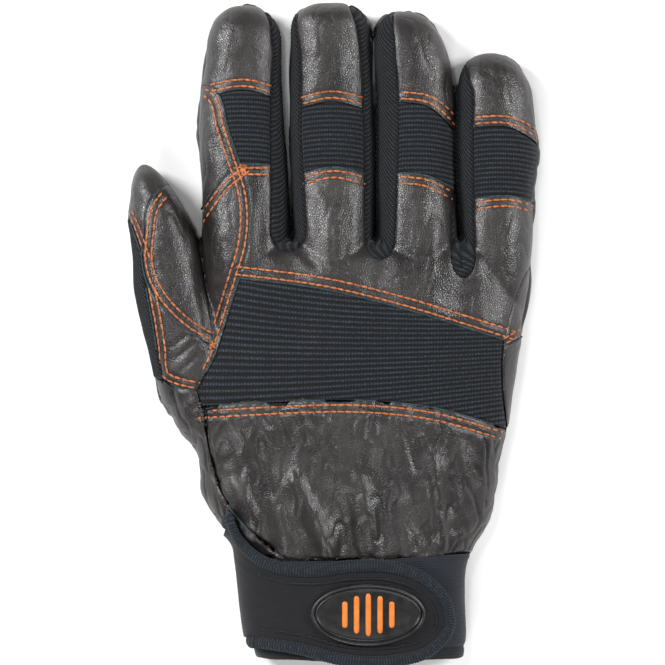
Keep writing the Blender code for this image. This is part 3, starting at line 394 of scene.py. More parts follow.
def smooth_value(places: Sequence[float], values: Sequence[float], place: float) -> float:
    """The value on a smooth curve through the rows, level past their ends.

    Args:
        places: where the rows stand.
        values: what each row gives.
        place: where the value is wanted.

    Returns:
        The value there.
    """
    if place <= places[0]:
        return values[0]
    if place >= places[-1]:
        return values[-1]
    steps = [b - a for a, b in zip(places, places[1:])]
    rises = [(b - a) / step for a, b, step in zip(values, values[1:], steps)]
    slopes = [rises[0]]
    for index in range(1, len(rises)):
        before, after = steps[index - 1], steps[index]
        slopes.append((rises[index - 1] * after + rises[index] * before) / (before + after))
    slopes.append(rises[-1])
    index = max(i for i, start in enumerate(places[:-1]) if start <= place)
    step = steps[index]
    t = (place - places[index]) / step
    bend = (2 * t**3 - 3 * t**2 + 1) * values[index] + (3 * t**2 - 2 * t**3) * values[index + 1]
    return bend + step * ((t**3 - 2 * t**2 + t) * slopes[index] + (t**3 - t**2) * slopes[index + 1])


def smooth_line(points: Sequence[Plan], steps: int) -> list[Plan]:
    """A smooth line through plan points.

    Args:
        points: the plan points.
        steps: how many steps stand between each pair.

    Returns:
        The points of the line.
    """
    lengths = [0.0]
    for a, b in zip(points, points[1:]):
        lengths.append(lengths[-1] + math.dist(a, b))
    xs = [point[0] for point in points]
    ys = [point[1] for point in points]
    line = []
    for index in range(len(points) - 1):
        for step in range(steps):
            place = lengths[index] + (lengths[index + 1] - lengths[index]) * step / steps
            line.append((smooth_value(lengths, xs, place), smooth_value(lengths, ys, place)))
    return line + [tuple(points[-1])]


def even_line(points: Sequence[Plan], pitch: float) -> list[Vector]:
    """The points of a plan line at an even pitch along it.

    Args:
        points: the plan points of the line.
        pitch: the distance between two points.

    Returns:
        The points, from the start of the line to its end.
    """
    flat = np.array([(point[0], point[1]) for point in points])
    lengths = np.concatenate([[0.0], np.cumsum(np.hypot(*np.diff(flat, axis=0).T))])
    count = max(int(round(lengths[-1] / pitch)), 1)
    places = np.linspace(0.0, lengths[-1], count + 1)
    xs, ys = np.interp(places, lengths, flat[:, 0]), np.interp(places, lengths, flat[:, 1])
    return [Vector((x, y)) for x, y in zip(xs, ys)]


def beside(line: Sequence[Vector], offset: float) -> list[Vector]:
    """A plan line shifted to its left, or to its right where the offset is below 0.

    Args:
        line: the points of the line.
        offset: how far it shifts.

    Returns:
        The shifted points.
    """
    moved = []
    for index, point in enumerate(line):
        before, after = line[max(index - 1, 0)], line[min(index + 1, len(line) - 1)]
        way = (after - before).normalized()
        moved.append(point + Vector((-way.y, way.x)) * offset)
    return moved


@dataclass(frozen=True)
class GloveForm:
    """The glove's form: sections of the hand, the cuff and the five digits."""

    thumb_reach: float = 0.0245
    thumb_root: float = 0.0517
    palm_length: float = 0.1010
    hand_thickness: float = 0.0290
    cuff_length: float = 0.0390
    cuff_width: float = 0.0780
    cuff_thickness: float = 0.0260
    cuff_axis: float = 0.455
    binding_width: float = 0.0032
    settle: float = 0.0012
    waist: float = 0.30
    low_corner: float = 0.0120
    round_top: float = 2.35
    round_low: float = 3.2
    wrist_round_top: float = 2.7
    dome_least: float = 0.05
    steepest: float = 0.96

    @property
    def knuckle_width(self) -> float:
        """The width of the four fingers at their roots."""
        return sum(finger.width for finger in FINGERS.values())

    @property
    def knuckle_x(self) -> float:
        """The left end of the line of the knuckles.

        Returns:
            Its place across, in metres.
        """
        left = -self.thumb_reach + THUMB.width * min(row.left for row in THUMB.rows)
        right = self.knuckle_width + LITTLE.width * (max(row.right for row in LITTLE.rows) - 1.0)
        return -(left + right) / 2

    @property
    def knuckle_y(self) -> float:
        """The place of the line of the knuckles up the page."""
        low = self.palm_length + self.cuff_length * max(stop.along for stop in STRAP_EDGE)
        return (low + self.binding_width / 2 - max(finger.length for finger in FINGERS.values())) / 2

    @property
    def cuff_x(self) -> float:
        """The cuff's middle line."""
        return self.knuckle_x + self.cuff_axis * self.knuckle_width

    @property
    def wrist_y(self) -> float:
        """Where the palm ends and the cuff's table starts."""
        return self.knuckle_y - self.palm_length

    @property
    def hem_y(self) -> float:
        """The lower end of the cuff."""
        return self.wrist_y - self.cuff_length

    def digit_place(self, name: str) -> Plan:
        """The left end and the height up the page of a digit's root.

        Args:
            name: the digit.

        Returns:
            The two places, in metres.
        """
        if name == "thumb":
            return self.knuckle_x - self.thumb_reach, self.knuckle_y - self.thumb_root
        left = self.knuckle_x
        for other, finger in FINGERS.items():
            if other == name:
                break
            left += finger.width
        return left, self.knuckle_y

    def digit_section(self, name: str, along: float) -> tuple[float, float, float, float]:
        """Left and right edge, lowest and highest point of a digit.

        Args:
            name: the digit.
            along: the share of its length.

        Returns:
            The four numbers, in metres.
        """
        digit = DIGITS[name]
        left_line = self.digit_place(name)[0]
        places = [row.along for row in digit.rows]
        left = smooth_value(places, [row.left for row in digit.rows], along)
        right = smooth_value(places, [row.right for row in digit.rows], along)
        high = smooth_value(places, [row.height for row in digit.rows], along) * digit.thickness
        low = -self.settle
        if along > places[-1]:
            u = min((along - places[-1]) / (1 - places[-1]), 1.0)
            keep = max((1 - u**digit.dome.power) ** digit.dome.root, self.dome_least)
            middle = (left + right) / 2 + digit.dome.lean * u
            half = (right - left) / 2 * keep
            left, right = middle - half, middle + half
            waist = self.waist * high
            low, high = waist + (low - waist) * keep, waist + (high - waist) * keep
        return left_line + left * digit.width, left_line + right * digit.width, low, high

    def hand_section(self, y: float, lift: float = 0.0) -> tuple[float, float, float, float]:
        """Left and right edge, lowest and highest point of the hand and cuff.

        Args:
            y: the place up the page.
            lift: how much the section is grown.

        Returns:
            The four numbers, in metres.
        """
        places = [row.along * self.palm_length for row in HAND_ROWS]
        places += [self.palm_length + row.along * self.cuff_length for row in CUFF_ROWS]
        lefts = [self.knuckle_x + row.left * self.knuckle_width for row in HAND_ROWS]
        lefts += [self.cuff_x + row.left * self.cuff_width for row in CUFF_ROWS]
        rights = [self.knuckle_x + row.right * self.knuckle_width for row in HAND_ROWS]
        rights += [self.cuff_x + row.right * self.cuff_width for row in CUFF_ROWS]
        highs = [row.height * self.hand_thickness for row in HAND_ROWS]
        highs += [row.height * self.cuff_thickness for row in CUFF_ROWS]
        place = self.knuckle_y - y
        left = smooth_value(places, lefts, place) - lift
        right = smooth_value(places, rights, place) + lift
        return left, right, -self.settle, smooth_value(places, highs, place) + lift

    def ring(
        self, section: tuple[float, float, float, float], y: float, sides: int, top: float, floor: float
    ) -> list[Vector]:
        """One ring of points across the glove.

        Args:
            section: its left, right, lowest and highest point.
            y: its place up the page.
            sides: how many points it has.
            top: how square its upper half is.
            floor: the level that it is flattened at.

        Returns:
            The points.
        """
        left, right, low, high = section
        middle, half = (left + right) / 2, (right - left) / 2
        waist = low + self.waist * (high - low)
        points = []
        for step in range(sides):
            angle = 2 * math.pi * (step + 0.5) / sides
            cosine, sine = math.cos(angle), math.sin(angle)
            if sine >= 0:
                reach = half * abs(cosine) ** (2 / top)
                z = waist + (high - waist) * sine ** (2 / top)
            else:
                corner = min(half, self.low_corner)
                reach = half - corner + corner * abs(cosine) ** (2 / self.round_low)
                z = waist - (waist - low) * abs(sine) ** (2 / self.round_low)
            points.append(Vector((middle + math.copysign(reach, cosine), y, max(z, floor))))
        return points

    def plan_point(self, stop: Stop) -> Plan:
        """The place in the plan of a point that a table gives by its shares.

        Args:
            stop: the point's row of a table.

        Returns:
            Its place, in metres.
        """
        if stop.frame == "hand":
            x = self.knuckle_x + stop.across * self.knuckle_width
            return x, self.knuckle_y - stop.along * self.palm_length
        if stop.frame == "cuff":
            x = self.cuff_x + stop.across * self.cuff_width
            return x, self.wrist_y - stop.along * self.cuff_length
        left, right, _, _ = self.digit_section(stop.frame, stop.along)
        digit = DIGITS[stop.frame]
        y = self.digit_place(stop.frame)[1] + stop.along * digit.length
        return left + stop.across * (right - left), y

    def fold_height(self, x: Any, y: Any) -> Any:
        """How far the soft back stands up or sinks in.

        Args:
            x: plan places, as a number or an array.
            y: plan places, as a number or an array.

        Returns:
            The heights, in metres.
        """
        height = x * 0.0
        for fold in FOLDS:
            start = self.plan_point(Stop("hand", fold.across0, fold.along0))
            end = self.plan_point(Stop("hand", fold.across1, fold.along1))
            run_x, run_y = end[0] - start[0], end[1] - start[1]
            share = ((x - start[0]) * run_x + (y - start[1]) * run_y) / (run_x**2 + run_y**2)
            share = np.clip(share, 0.0, 1.0)
            away = np.hypot(x - start[0] - run_x * share, y - start[1] - run_y * share)
            away = away / (fold.width * self.hand_thickness)
            height = height + fold.height * self.hand_thickness * np.exp(-away * away)
        return height

    def cuff_point(self, x: float, y: float, lift: float) -> Vector:
        """A point straight above a plan point, this far off the outside of the hand or cuff.

        Args:
            x: its place across.
            y: its place up the page.
            lift: how far off the outside it lies.

        Returns:
            The point.
        """
        left, right, low, high = self.hand_section(y)
        half, waist = (right - left) / 2, low + self.waist * (high - low)
        share = min(abs(x - (left + right) / 2) / half, self.steepest)
        up = (1 - share**self.wrist_round_top) ** (1 / self.wrist_round_top)
        slope_x = share ** (self.wrist_round_top - 1) / half
        slope_z = up ** (self.wrist_round_top - 1) / (high - waist)
        normal_z = slope_z / math.hypot(slope_x, slope_z)
        fold = float(self.fold_height(x, y)) * up ** (self.wrist_round_top / 2)
        return Vector((x, y, waist + up * (high - waist) + fold + lift / normal_z))


FORM = GloveForm()


def linked(name: str, data: bpy.types.ID) -> bpy.types.Object:
    """An object of a mesh, lamp or camera, linked to the scene.

    Args:
        name: the object's name.
        data: the mesh, lamp or camera.

    Returns:
        The object.
    """
    made = bpy.data.objects.new(name, data)
    bpy.context.scene.collection.objects.link(made)
    return made


def new_object(name: str, shape: bmesh.types.BMesh) -> bpy.types.Object:
    """An object of a bmesh, which is freed.

    Args:
        name: the object's name.
        shape: its mesh.

    Returns:
        The object, linked to the scene.
    """
    mesh = bpy.data.meshes.new(name)
    shape.to_mesh(mesh)
    shape.free()
    return linked(name, mesh)


def evaluated(source: bpy.types.Object, name: str) -> bpy.types.Object:
    """A plain object of what another's modifiers make, in place of it.

    Args:
        source: the object with modifiers, which is removed.
        name: the new object's name.

    Returns:
        The new object.
    """
    bpy.context.view_layer.update()
    graph = bpy.context.evaluated_depsgraph_get()
    mesh = bpy.data.meshes.new_from_object(source.evaluated_get(graph))
    mesh.name = name
    bpy.data.objects.remove(source)
    return linked(name, mesh)


def combine(first: bpy.types.Object, others: Sequence[bpy.types.Object], operation: str) -> None:
    """Adds Booleans that join other solids to the first, or take them from it.

    Args:
        first: the object that takes the Booleans.
        others: the solids that join or cut it.
        operation: the Booleans' kind, such as UNION.
    """
    for other in others:
        step = first.modifiers.new(operation.lower(), "BOOLEAN")
        step.operation = operation
        step.solver = "MANIFOLD"
        step.object = other


def remove(objects: Sequence[bpy.types.Object]) -> None:
    """Removes helper objects."""
    for item in objects:
        bpy.data.objects.remove(item)


def loft(rings: Sequence[Sequence[Vector]]) -> bmesh.types.BMesh:
    """A closed solid through rings of equally many points.

    Args:
        rings: the rings, each a list of points in order.

    Returns:
        The bmesh, facing out.
    """
    sides, rows = len(rings[0]), len(rings)
    shape = bmesh.new()
    bmesh.ops.create_grid(shape, x_segments=sides, y_segments=rows - 1, size=0.5)
    for vert in shape.verts:
        side = round((vert.co.x + 0.5) * sides) % sides
        row = round((vert.co.y + 0.5) * (rows - 1))
        vert.co = rings[row][side]
    bmesh.ops.remove_doubles(shape, verts=shape.verts, dist=1e-7)
    edges = [edge for edge in shape.edges if edge.is_boundary]
    bmesh.ops.holes_fill(shape, edges=edges, sides=0)
    bmesh.ops.recalc_face_normals(shape, faces=shape.faces)
    return shape


def tube(path: Sequence[Vector], ups: Sequence[Vector], widths: Sequence[float], heights: Sequence[float],
         sides: int = 10) -> bmesh.types.BMesh:
    """A solid of oval section along a path.

    Args:
        path: its middle points.
        ups: the way each section's height runs.
        widths: half the width of each section.
        heights: half the height of each section.
        sides: how many points each section has.

    Returns:
        The bmesh.
    """
    rings = []
    for index, point in enumerate(path):
        way = (path[min(index + 1, len(path) - 1)] - path[max(index - 1, 0)]).normalized()
        across = way.cross(ups[index]).normalized()
        up = across.cross(way)
        ring = []
        for step in range(sides):
            angle = 2 * math.pi * step / sides
            ring.append(point + across * widths[index] * math.cos(angle) + up * heights[index] * math.sin(angle))
        rings.append(ring)
    return loft(rings)


def prism(name: str, outline: Sequence[Plan], low: float, high: float) -> bpy.types.Object:
    """A solid of a plan outline between two heights.

    Args:
        name: the object's name.
        outline: its plan points in order.
        low: its lower level.
        high: its upper level.

    Returns:
        The object.
    """
    shape = bmesh.new()
    verts = [shape.verts.new((x, y, low)) for x, y in outline]
    for a, b in zip(verts, verts[1:] + verts[:1]):
        shape.edges.new((a, b))
    bmesh.ops.contextual_create(shape, geom=list(shape.edges))
    raised = bmesh.ops.extrude_face_region(shape, geom=list(shape.faces), use_keep_orig=True)
    tops = [item for item in raised["geom"] if isinstance(item, bmesh.types.BMVert)]
    bmesh.ops.translate(shape, verts=tops, vec=(0, 0, high - low))
    bmesh.ops.recalc_face_normals(shape, faces=shape.faces)
    return new_object(name, shape)


def blade(name: str, line: Sequence[Plan], low: float, high: float, lead: float = 3 * SEAM_GAP,
          width: float = SEAM_GAP) -> bpy.types.Object:
    """A thin upright wall along a plan line, a little longer at both ends.

    Args:
        name: the object's name.
        line: the plan line.
        low: its lower level.
        high: its upper level.
        lead: how much longer it is at its start.
        width: how thick it is.

    Returns:
        The object.
    """
    points = [Vector(point) for point in line]
    points[0] = points[0] + (points[0] - points[1]).normalized() * lead
    points[-1] = points[-1] + (points[-1] - points[-2]).normalized() * 3 * SEAM_GAP
    outline = beside(points, width / 2) + beside(points, -width / 2)[::-1]
    return prism(name, [(point.x, point.y) for point in outline], low, high)


@dataclass
class SeamLines:
    """The plan lines of every seam."""

    form: GloveForm
    strip_top: float = 0.80
    crotch_rise: float = 0.075
    steps: int = 6
    overrun: float = 0.10
    lines: dict[str, list[Plan]] = field(default_factory=dict)

    def edge_of(self, name: str, y: float, right: bool) -> float:
        """A digit's left or right edge, carried straight up past its last row.

        Args:
            name: the finger.
            y: the place up the page.
            right: whether the right edge is wanted.

        Returns:
            The edge's place across.
        """
        digit = FINGERS[name]
        along = min((y - self.form.knuckle_y) / digit.length, digit.rows[-1].along)
        return self.form.digit_section(name, along)[1 if right else 0]

    def slit(self, gap: Gap) -> list[Plan]:
        """The line between two fingers, from past the shorter tip to the foot of the slit.

        Args:
            gap: the gap between the two fingers.

        Returns:
            The points of the line.
        """
        top = self.form.knuckle_y + min(FINGERS[gap.first].length, FINGERS[gap.second].length)
        foot = self.form.knuckle_y - gap.slit * self.form.palm_length
        line = []
        for step in range(3 * self.steps + 1):
            y = top + (foot - top) * step / (3 * self.steps)
            line.append(((self.edge_of(gap.first, y, True) + self.edge_of(gap.second, y, False)) / 2, y))
        return [(line[0][0], top + INDEX.thickness)] + line

    def strip_edge(self, gap: Gap, name: str, along: float) -> Plan:
        """A plan point on the edge of a side strip, on one of its two fingers.

        Args:
            gap: the gap between the two fingers.
            name: which of its two fingers.
            along: the share of that finger's length.

        Returns:
            The point.
        """
        on_first = name == gap.first
        tip, root = (gap.first_tip, gap.first_root) if on_first else (gap.second_tip, gap.second_root)
        share = root + (tip - root) * min(max(along, 0.0), 1.0)
        digit = FINGERS[name]
        left, right, _, _ = self.form.digit_section(name, along)
        y = self.form.knuckle_y + along * digit.length
        return (right - share * digit.width if on_first else left + share * digit.width), y

    def strip(self, gap: Gap) -> list[Plan]:
        """The seam round a side strip: down one finger, round the crotch and up the next.

        Args:
            gap: the gap between the two fingers.

        Returns:
            The points of the seam.
        """
        knuckle_y, palm = self.form.knuckle_y, self.form.palm_length
        foot, turn = knuckle_y - gap.foot * palm, knuckle_y - (gap.foot - self.crotch_rise) * palm
        sides = []
        for name in (gap.first, gap.second):
            digit = FINGERS[name]
            low = (turn - knuckle_y) / digit.length
            runs_out = name == gap.first and gap.first_tip < 0
            top = gap.first_root / (gap.first_root - gap.first_tip) if runs_out else self.strip_top
            side = [self.strip_edge(gap, name, low + (top - low) * step / 12) for step in range(13)]
            if runs_out:
                y = side[-1][1]
                side.append(((self.edge_of(name, y, True) + self.edge_of(gap.second, y, False)) / 2, y))
            else:
                tops = gap.first_top if name == gap.first else gap.second_top
                side += [photo_place(*place) for place in tops]
            sides.append(side)
        start, end = sides[0][0], sides[1][0]
        middle, half = (start[0] + end[0]) / 2, (end[0] - start[0]) / 2
        bottom = []
        for step in range(1, 10):
            angle = math.pi * step / 10
            bottom.append((middle - half * math.cos(angle), turn - (turn - foot) * math.sin(angle)))
        return sides[0][::-1] + bottom + sides[1]

    def crossing(self, crossing: Crossing) -> list[Plan]:
        """The seam across a finger between the edges of its side strips.

        Args:
            crossing: the seam's row of its table.

        Returns:
            The points of the seam.
        """
        name = crossing.finger
        digit = FINGERS[name]
        before = [gap for gap in GAPS if gap.second == name]
        after = [gap for gap in GAPS if gap.first == name]
        line = []
        for along, share in ((crossing.left, 0.0), (crossing.middle, 0.5), (crossing.right, 1.0)):
            left, right, _, _ = self.form.digit_section(name, along)
            left += (right - left) * crossing.start
            if before:
                left = self.strip_edge(before[0], name, along)[0]
            if after:
                right = min(self.strip_edge(after[0], name, along)[0], right)
            else:
                right += digit.width * self.overrun
            line.append((left + (right - left) * share, self.form.knuckle_y + along * digit.length))
        return smooth_line(line, self.steps)

    def draw(self) -> None:
        """Works out every line."""
        for gap in GAPS:
            self.lines[f"slit_{gap.first}"] = self.slit(gap)
            self.lines[f"strip_{gap.first}"] = self.strip(gap)
        for part, crossings in (("cap", CAPS), ("tongue", TONGUES)):
            for crossing in crossings:
                self.lines[f"{part}_{crossing.finger}"] = self.crossing(crossing)
        for name, stops in SEAMS.items():
            self.lines[name] = smooth_line([self.form.plan_point(stop) for stop in stops], self.steps)
        web = list(SEAMS["thumb_mesh"]) + list(SEAMS["thumb_foot"][2:])
        self.lines["thumb_web"] = smooth_line([self.form.plan_point(stop) for stop in web], self.steps)


def mesh_points(mesh: bpy.types.Mesh) -> np.ndarray:
    """The places of a mesh's vertices, as rows.

    Args:
        mesh: the mesh.

    Returns:
        Three numbers for each vertex.
    """
    points = np.empty(len(mesh.vertices) * 3, np.float32)
    mesh.vertices.foreach_get("co", points)
    return points.reshape(-1, 3).astype(np.float64)


def set_points(mesh: bpy.types.Mesh, points: np.ndarray) -> None:
    """Moves a mesh's vertices to these places."""
    mesh.vertices.foreach_set("co", points.astype(np.float32).ravel())
    mesh.update()


def noise_at(points: np.ndarray, scale: float, shift: float = 0.0) -> np.ndarray:
    """Smooth noise, from -1 to 1.

    Args:
        points: the places, as rows.
        scale: how many waves a metre has.
        shift: moves the pattern.

    Returns:
        One value for each place.
    """
    places = points * scale + shift
    return np.fromiter((noise.noise(place) for place in places.tolist()), np.float64, len(points))


def write_attributes(mesh: bpy.types.Mesh, **columns: np.ndarray) -> None:
    """Stores one number for each vertex under each name.

    Args:
        mesh: the mesh.
        columns: the numbers, by attribute name.
    """
    for name, values in columns.items():
        layer = mesh.attributes.new(name, "FLOAT", "POINT")
        layer.data.foreach_set("value", values.astype(np.float32))


def bell(away: np.ndarray, width: float) -> np.ndarray:
    """1 where the distance is 0, and falling off over a width."""
    return np.exp(-((away / width) ** 2))


def search_tree(places: Sequence[Sequence[float]]) -> KDTree:
    """A tree that finds the nearest of some places.

    Args:
        places: the places, each of three numbers.

    Returns:
        The balanced tree.
    """
    tree = KDTree(len(places))
    for index, place in enumerate(places):
        tree.insert(place, index)
    tree.balance()
    return tree


def nearest(tree: KDTree, points: np.ndarray, part: int = 2) -> np.ndarray:
    """How far each point is from a tree's nearest place, or that place's number where part is 1."""
    return np.fromiter((tree.find(point)[part] for point in points.tolist()), np.float64, len(points))


@dataclass
class NodeSketch:
    """Adds and joins shader nodes in one tree."""

    tree: bpy.types.NodeTree

    def add(self, kind: str, inputs: dict[Any, Any] | None = None, **settings: Any) -> bpy.types.Node:
        """A node with its settings, its input values and its links.

        Args:
            kind: the node's type name.
            inputs: a value or an output socket for each input, by name or number.
            settings: the node's own properties.

        Returns:
            The node.
        """
        node = self.tree.nodes.new(kind)
        for name, value in settings.items():
            setattr(node, name, value)
        self.feed(node, inputs or {})
        return node

    def feed(self, node: bpy.types.Node, inputs: dict[Any, Any]) -> None:
        """Gives inputs of a node, by name or number, a value or a link each.

        Args:
            node: the node.
            inputs: a value or an output socket for each input.
        """
        for name, value in inputs.items():
            if isinstance(value, bpy.types.NodeSocket):
                self.tree.links.new(value, node.inputs[name])
            else:
                node.inputs[name].default_value = value

    def math(self, operation: str, *values: Any, clamp: bool = False) -> bpy.types.NodeSocket:
        """The result of a Math node on values or sockets."""
        node = self.add("ShaderNodeMath", dict(enumerate(values)), operation=operation, use_clamp=clamp)
        return node.outputs[0]

    def mix(self, share: Any, first: Any, second: Any) -> bpy.types.NodeSocket:
        """A colour between two others by a share."""
        return self.add("ShaderNodeMix", {0: share, 6: first, 7: second}, data_type="RGBA").outputs[2]

    def ramp(self, value: Any, low: float, high: float, start: float = 0.0, end: float = 1.0) -> bpy.types.NodeSocket:
        """A value carried from one span to another, held at its ends."""
        inputs = {"Value": value, "From Min": low, "From Max": high, "To Min": start, "To Max": end}
        return self.add("ShaderNodeMapRange", inputs, clamp=True).outputs[0]

    def attribute(self, name: str) -> bpy.types.NodeSocket:
        """A number that the mesh stores under a name."""
        return self.add("ShaderNodeAttribute", attribute_type="GEOMETRY", attribute_name=name).outputs["Fac"]


class Group(Enum):
    """The shader groups that several finishes share."""

    GRAIN = "leather_grain"
    YARN = "yarn_rows"
    WEAVE = "fine_weave"
    MOTTLE = "mottle"


def new_group(group: Group, inputs: Sequence[tuple[str, str]], outputs: Sequence[tuple[str, str]]
              ) -> tuple[bpy.types.NodeTree, NodeSketch, bpy.types.Node]:
    """An empty shader group with its sockets.

    Args:
        group: which one.
        inputs: the name and type of each input.
        outputs: the name and type of each output.

    Returns:
        The tree, a sketch on it, and its input node.
    """
    tree = bpy.data.node_groups.new(group.value, "ShaderNodeTree")
    for name, kind in inputs:
        tree.interface.new_socket(name, in_out="INPUT", socket_type=kind)
    for name, kind in outputs:
        tree.interface.new_socket(name, in_out="OUTPUT", socket_type=kind)
    sketch = NodeSketch(tree)
    return tree, sketch, sketch.add("NodeGroupInput")


def grain_group() -> bpy.types.NodeTree:
    """Leather grain: small pebbles parted by creases, and longer wrinkles.

    Returns:
        The group, which gives Height and Crease.
    """
    tree, sketch, source = new_group(
        Group.GRAIN, (("Vector", "NodeSocketVector"), ("Size", "NodeSocketFloat")),
        (("Height", "NodeSocketFloat"), ("Crease", "NodeSocketFloat")),
    )
    warp = sketch.add("ShaderNodeTexNoise", {"Vector": source.outputs["Vector"], "Scale": 160.0, "Detail": 2.0})
    shift = sketch.add("ShaderNodeVectorMath", {0: warp.outputs["Color"], 1: (0.5, 0.5, 0.5)}, operation="SUBTRACT")
    push = sketch.add("ShaderNodeVectorMath", {0: shift.outputs[0], "Scale": 0.0005}, operation="SCALE")
    place = sketch.add("ShaderNodeVectorMath", {0: source.outputs["Vector"], 1: push.outputs[0]}, operation="ADD")
    cells = sketch.add(
        "ShaderNodeTexVoronoi", {"Vector": place.outputs[0], "Scale": source.outputs["Size"]},
        feature="DISTANCE_TO_EDGE",
    )
    pebble = sketch.ramp(cells.outputs["Distance"], 0.0, 0.28)
    wrinkle = sketch.add(
        "ShaderNodeTexNoise",
        {"Vector": place.outputs[0], "Scale": 300.0, "Detail": 2.0, "Roughness": 0.5, "Distortion": 0.2},
    )
    height = sketch.math("ADD", pebble, sketch.math("MULTIPLY", wrinkle.outputs["Fac"], 1.1))
    crease = sketch.math("SUBTRACT", 1.0, pebble)
    sketch.add("NodeGroupOutput", {"Height": height, "Crease": crease})
    return tree


def yarn_group() -> bpy.types.NodeTree:
    """Rows of knitted loops: ribs across, parted into columns, with single yarns.

    Returns:
        The group, which gives Height and Loops.
    """
    tree, sketch, source = new_group(
        Group.YARN,
        (("Along", "NodeSocketFloat"), ("Across", "NodeSocketFloat"), ("Vector", "NodeSocketVector")),
        (("Height", "NodeSocketFloat"), ("Loops", "NodeSocketFloat")),
    )
    rough = sketch.add("ShaderNodeTexNoise", {"Vector": source.outputs["Vector"], "Scale": 900.0, "Detail": 2.0})
    shake = sketch.math("MULTIPLY", sketch.math("SUBTRACT", rough.outputs["Fac"], 0.5), 1.1)
    rib_angle = sketch.math("MULTIPLY", source.outputs["Along"], 2 * math.pi)
    rib_angle = sketch.math("ADD", rib_angle, shake)
    rib = sketch.ramp(sketch.math("COSINE", rib_angle), -0.3, 1.0)
    column_angle = sketch.math("MULTIPLY", source.outputs["Across"], 2 * math.pi)
    column_angle = sketch.math("ADD", column_angle, shake)
    column = sketch.ramp(sketch.math("COSINE", column_angle), -0.8, 0.6, 0.30, 1.0)
    loops = sketch.math("MULTIPLY", rib, column)
    fleck = sketch.add("ShaderNodeTexNoise", {"Vector": source.outputs["Vector"], "Scale": 1700.0, "Detail": 1.0})
    loops = sketch.math("MULTIPLY", loops, sketch.ramp(fleck.outputs["Fac"], 0.30, 0.68, 0.25, 1.25))
    height = sketch.math("ADD", sketch.math("MULTIPLY", rib, 0.4), sketch.math("MULTIPLY", loops, 0.8))
    sketch.add("NodeGroupOutput", {"Height": height, "Loops": loops})
    return tree


def weave_group() -> bpy.types.NodeTree:
    """Fine jersey: rows of tiny loops in the plan, at a pitch.

    Returns:
        The group, which gives Height and Loops.
    """
    tree, sketch, source = new_group(
        Group.WEAVE, (("Vector", "NodeSocketVector"), ("Pitch", "NodeSocketFloat")),
        (("Height", "NodeSocketFloat"), ("Loops", "NodeSocketFloat")),
    )
    rough = sketch.add("ShaderNodeTexNoise", {"Vector": source.outputs["Vector"], "Scale": 700.0, "Detail": 2.0})
    shake = sketch.math("MULTIPLY", sketch.math("SUBTRACT", rough.outputs["Fac"], 0.5), 2.4)
    parts = sketch.add("ShaderNodeSeparateXYZ", {0: source.outputs["Vector"]})
    waves = []
    for output, share in (("X", 1.35), ("Y", 1.0)):
        turns = sketch.math("DIVIDE", parts.outputs[output], source.outputs["Pitch"])
        angle = sketch.math("ADD", sketch.math("MULTIPLY", turns, 2 * math.pi * share), shake)
        waves.append(sketch.ramp(sketch.math("COSINE", angle), -0.6, 1.0))
    loops = sketch.math("MULTIPLY", waves[0], waves[1])
    height = sketch.math("ADD", sketch.math("MULTIPLY", waves[1], 0.5), loops)
    sketch.add("NodeGroupOutput", {"Height": height, "Loops": loops})
    return tree


def mottle_group() -> bpy.types.NodeTree:
    """Broad uneven patches, from 0 to 1.

    Returns:
        The group, which gives Patches.
    """
    tree, sketch, source = new_group(
        Group.MOTTLE, (("Vector", "NodeSocketVector"), ("Scale", "NodeSocketFloat")),
        (("Patches", "NodeSocketFloat"),),
    )
    broad = sketch.add(
        "ShaderNodeTexNoise",
        {"Vector": source.outputs["Vector"], "Scale": source.outputs["Scale"], "Detail": 5.0, "Roughness": 0.6},
    )
    sketch.add("NodeGroupOutput", {"Patches": sketch.ramp(broad.outputs["Fac"], 0.32, 0.68)})
    return tree


GROUP_MAKERS: dict[Group, Callable[[], bpy.types.NodeTree]] = {
    Group.GRAIN: grain_group,
    Group.YARN: yarn_group,
    Group.WEAVE: weave_group,
    Group.MOTTLE: mottle_group,
}


def place_group(sketch: NodeSketch, group: Group, inputs: dict[str, Any]) -> bpy.types.Node:
    """A shared group in a material, with its own values.

    Args:
        sketch: the material's sketch.
        group: which group.
        inputs: its values or links by socket name.

    Returns:
        The group's node.
    """
    tree = bpy.data.node_groups.get(group.value) or GROUP_MAKERS[group]()
    node = sketch.tree.nodes.new("ShaderNodeGroup")
    node.node_tree = tree
    sketch.feed(node, inputs)
    return node


def new_material(name: str) -> tuple[bpy.types.Material, NodeSketch, bpy.types.Node, bpy.types.NodeSocket]:
    """A material with its shader and its object coordinates.

    Args:
        name: the material's name.

    Returns:
        The material, its sketch, its Principled shader and the coordinates.
    """
    material = bpy.data.materials.new(name)
    material.use_nodes = True
    sketch = NodeSketch(material.node_tree)
    shader = material.node_tree.nodes["Principled BSDF"]
    place = sketch.add("ShaderNodeTexCoord").outputs["Object"]
    return material, sketch, shader, place


def set_bump(sketch: NodeSketch, shader: bpy.types.Node, height: bpy.types.NodeSocket, depth: float) -> None:
    """Feeds a height to the shader's normal, with its depth in metres."""
    bump = sketch.add("ShaderNodeBump", {"Height": height, "Distance": depth, "Strength": 1.0})
    sketch.feed(shader, {"Normal": bump.outputs["Normal"]})


Colour = tuple[float, float, float, float]


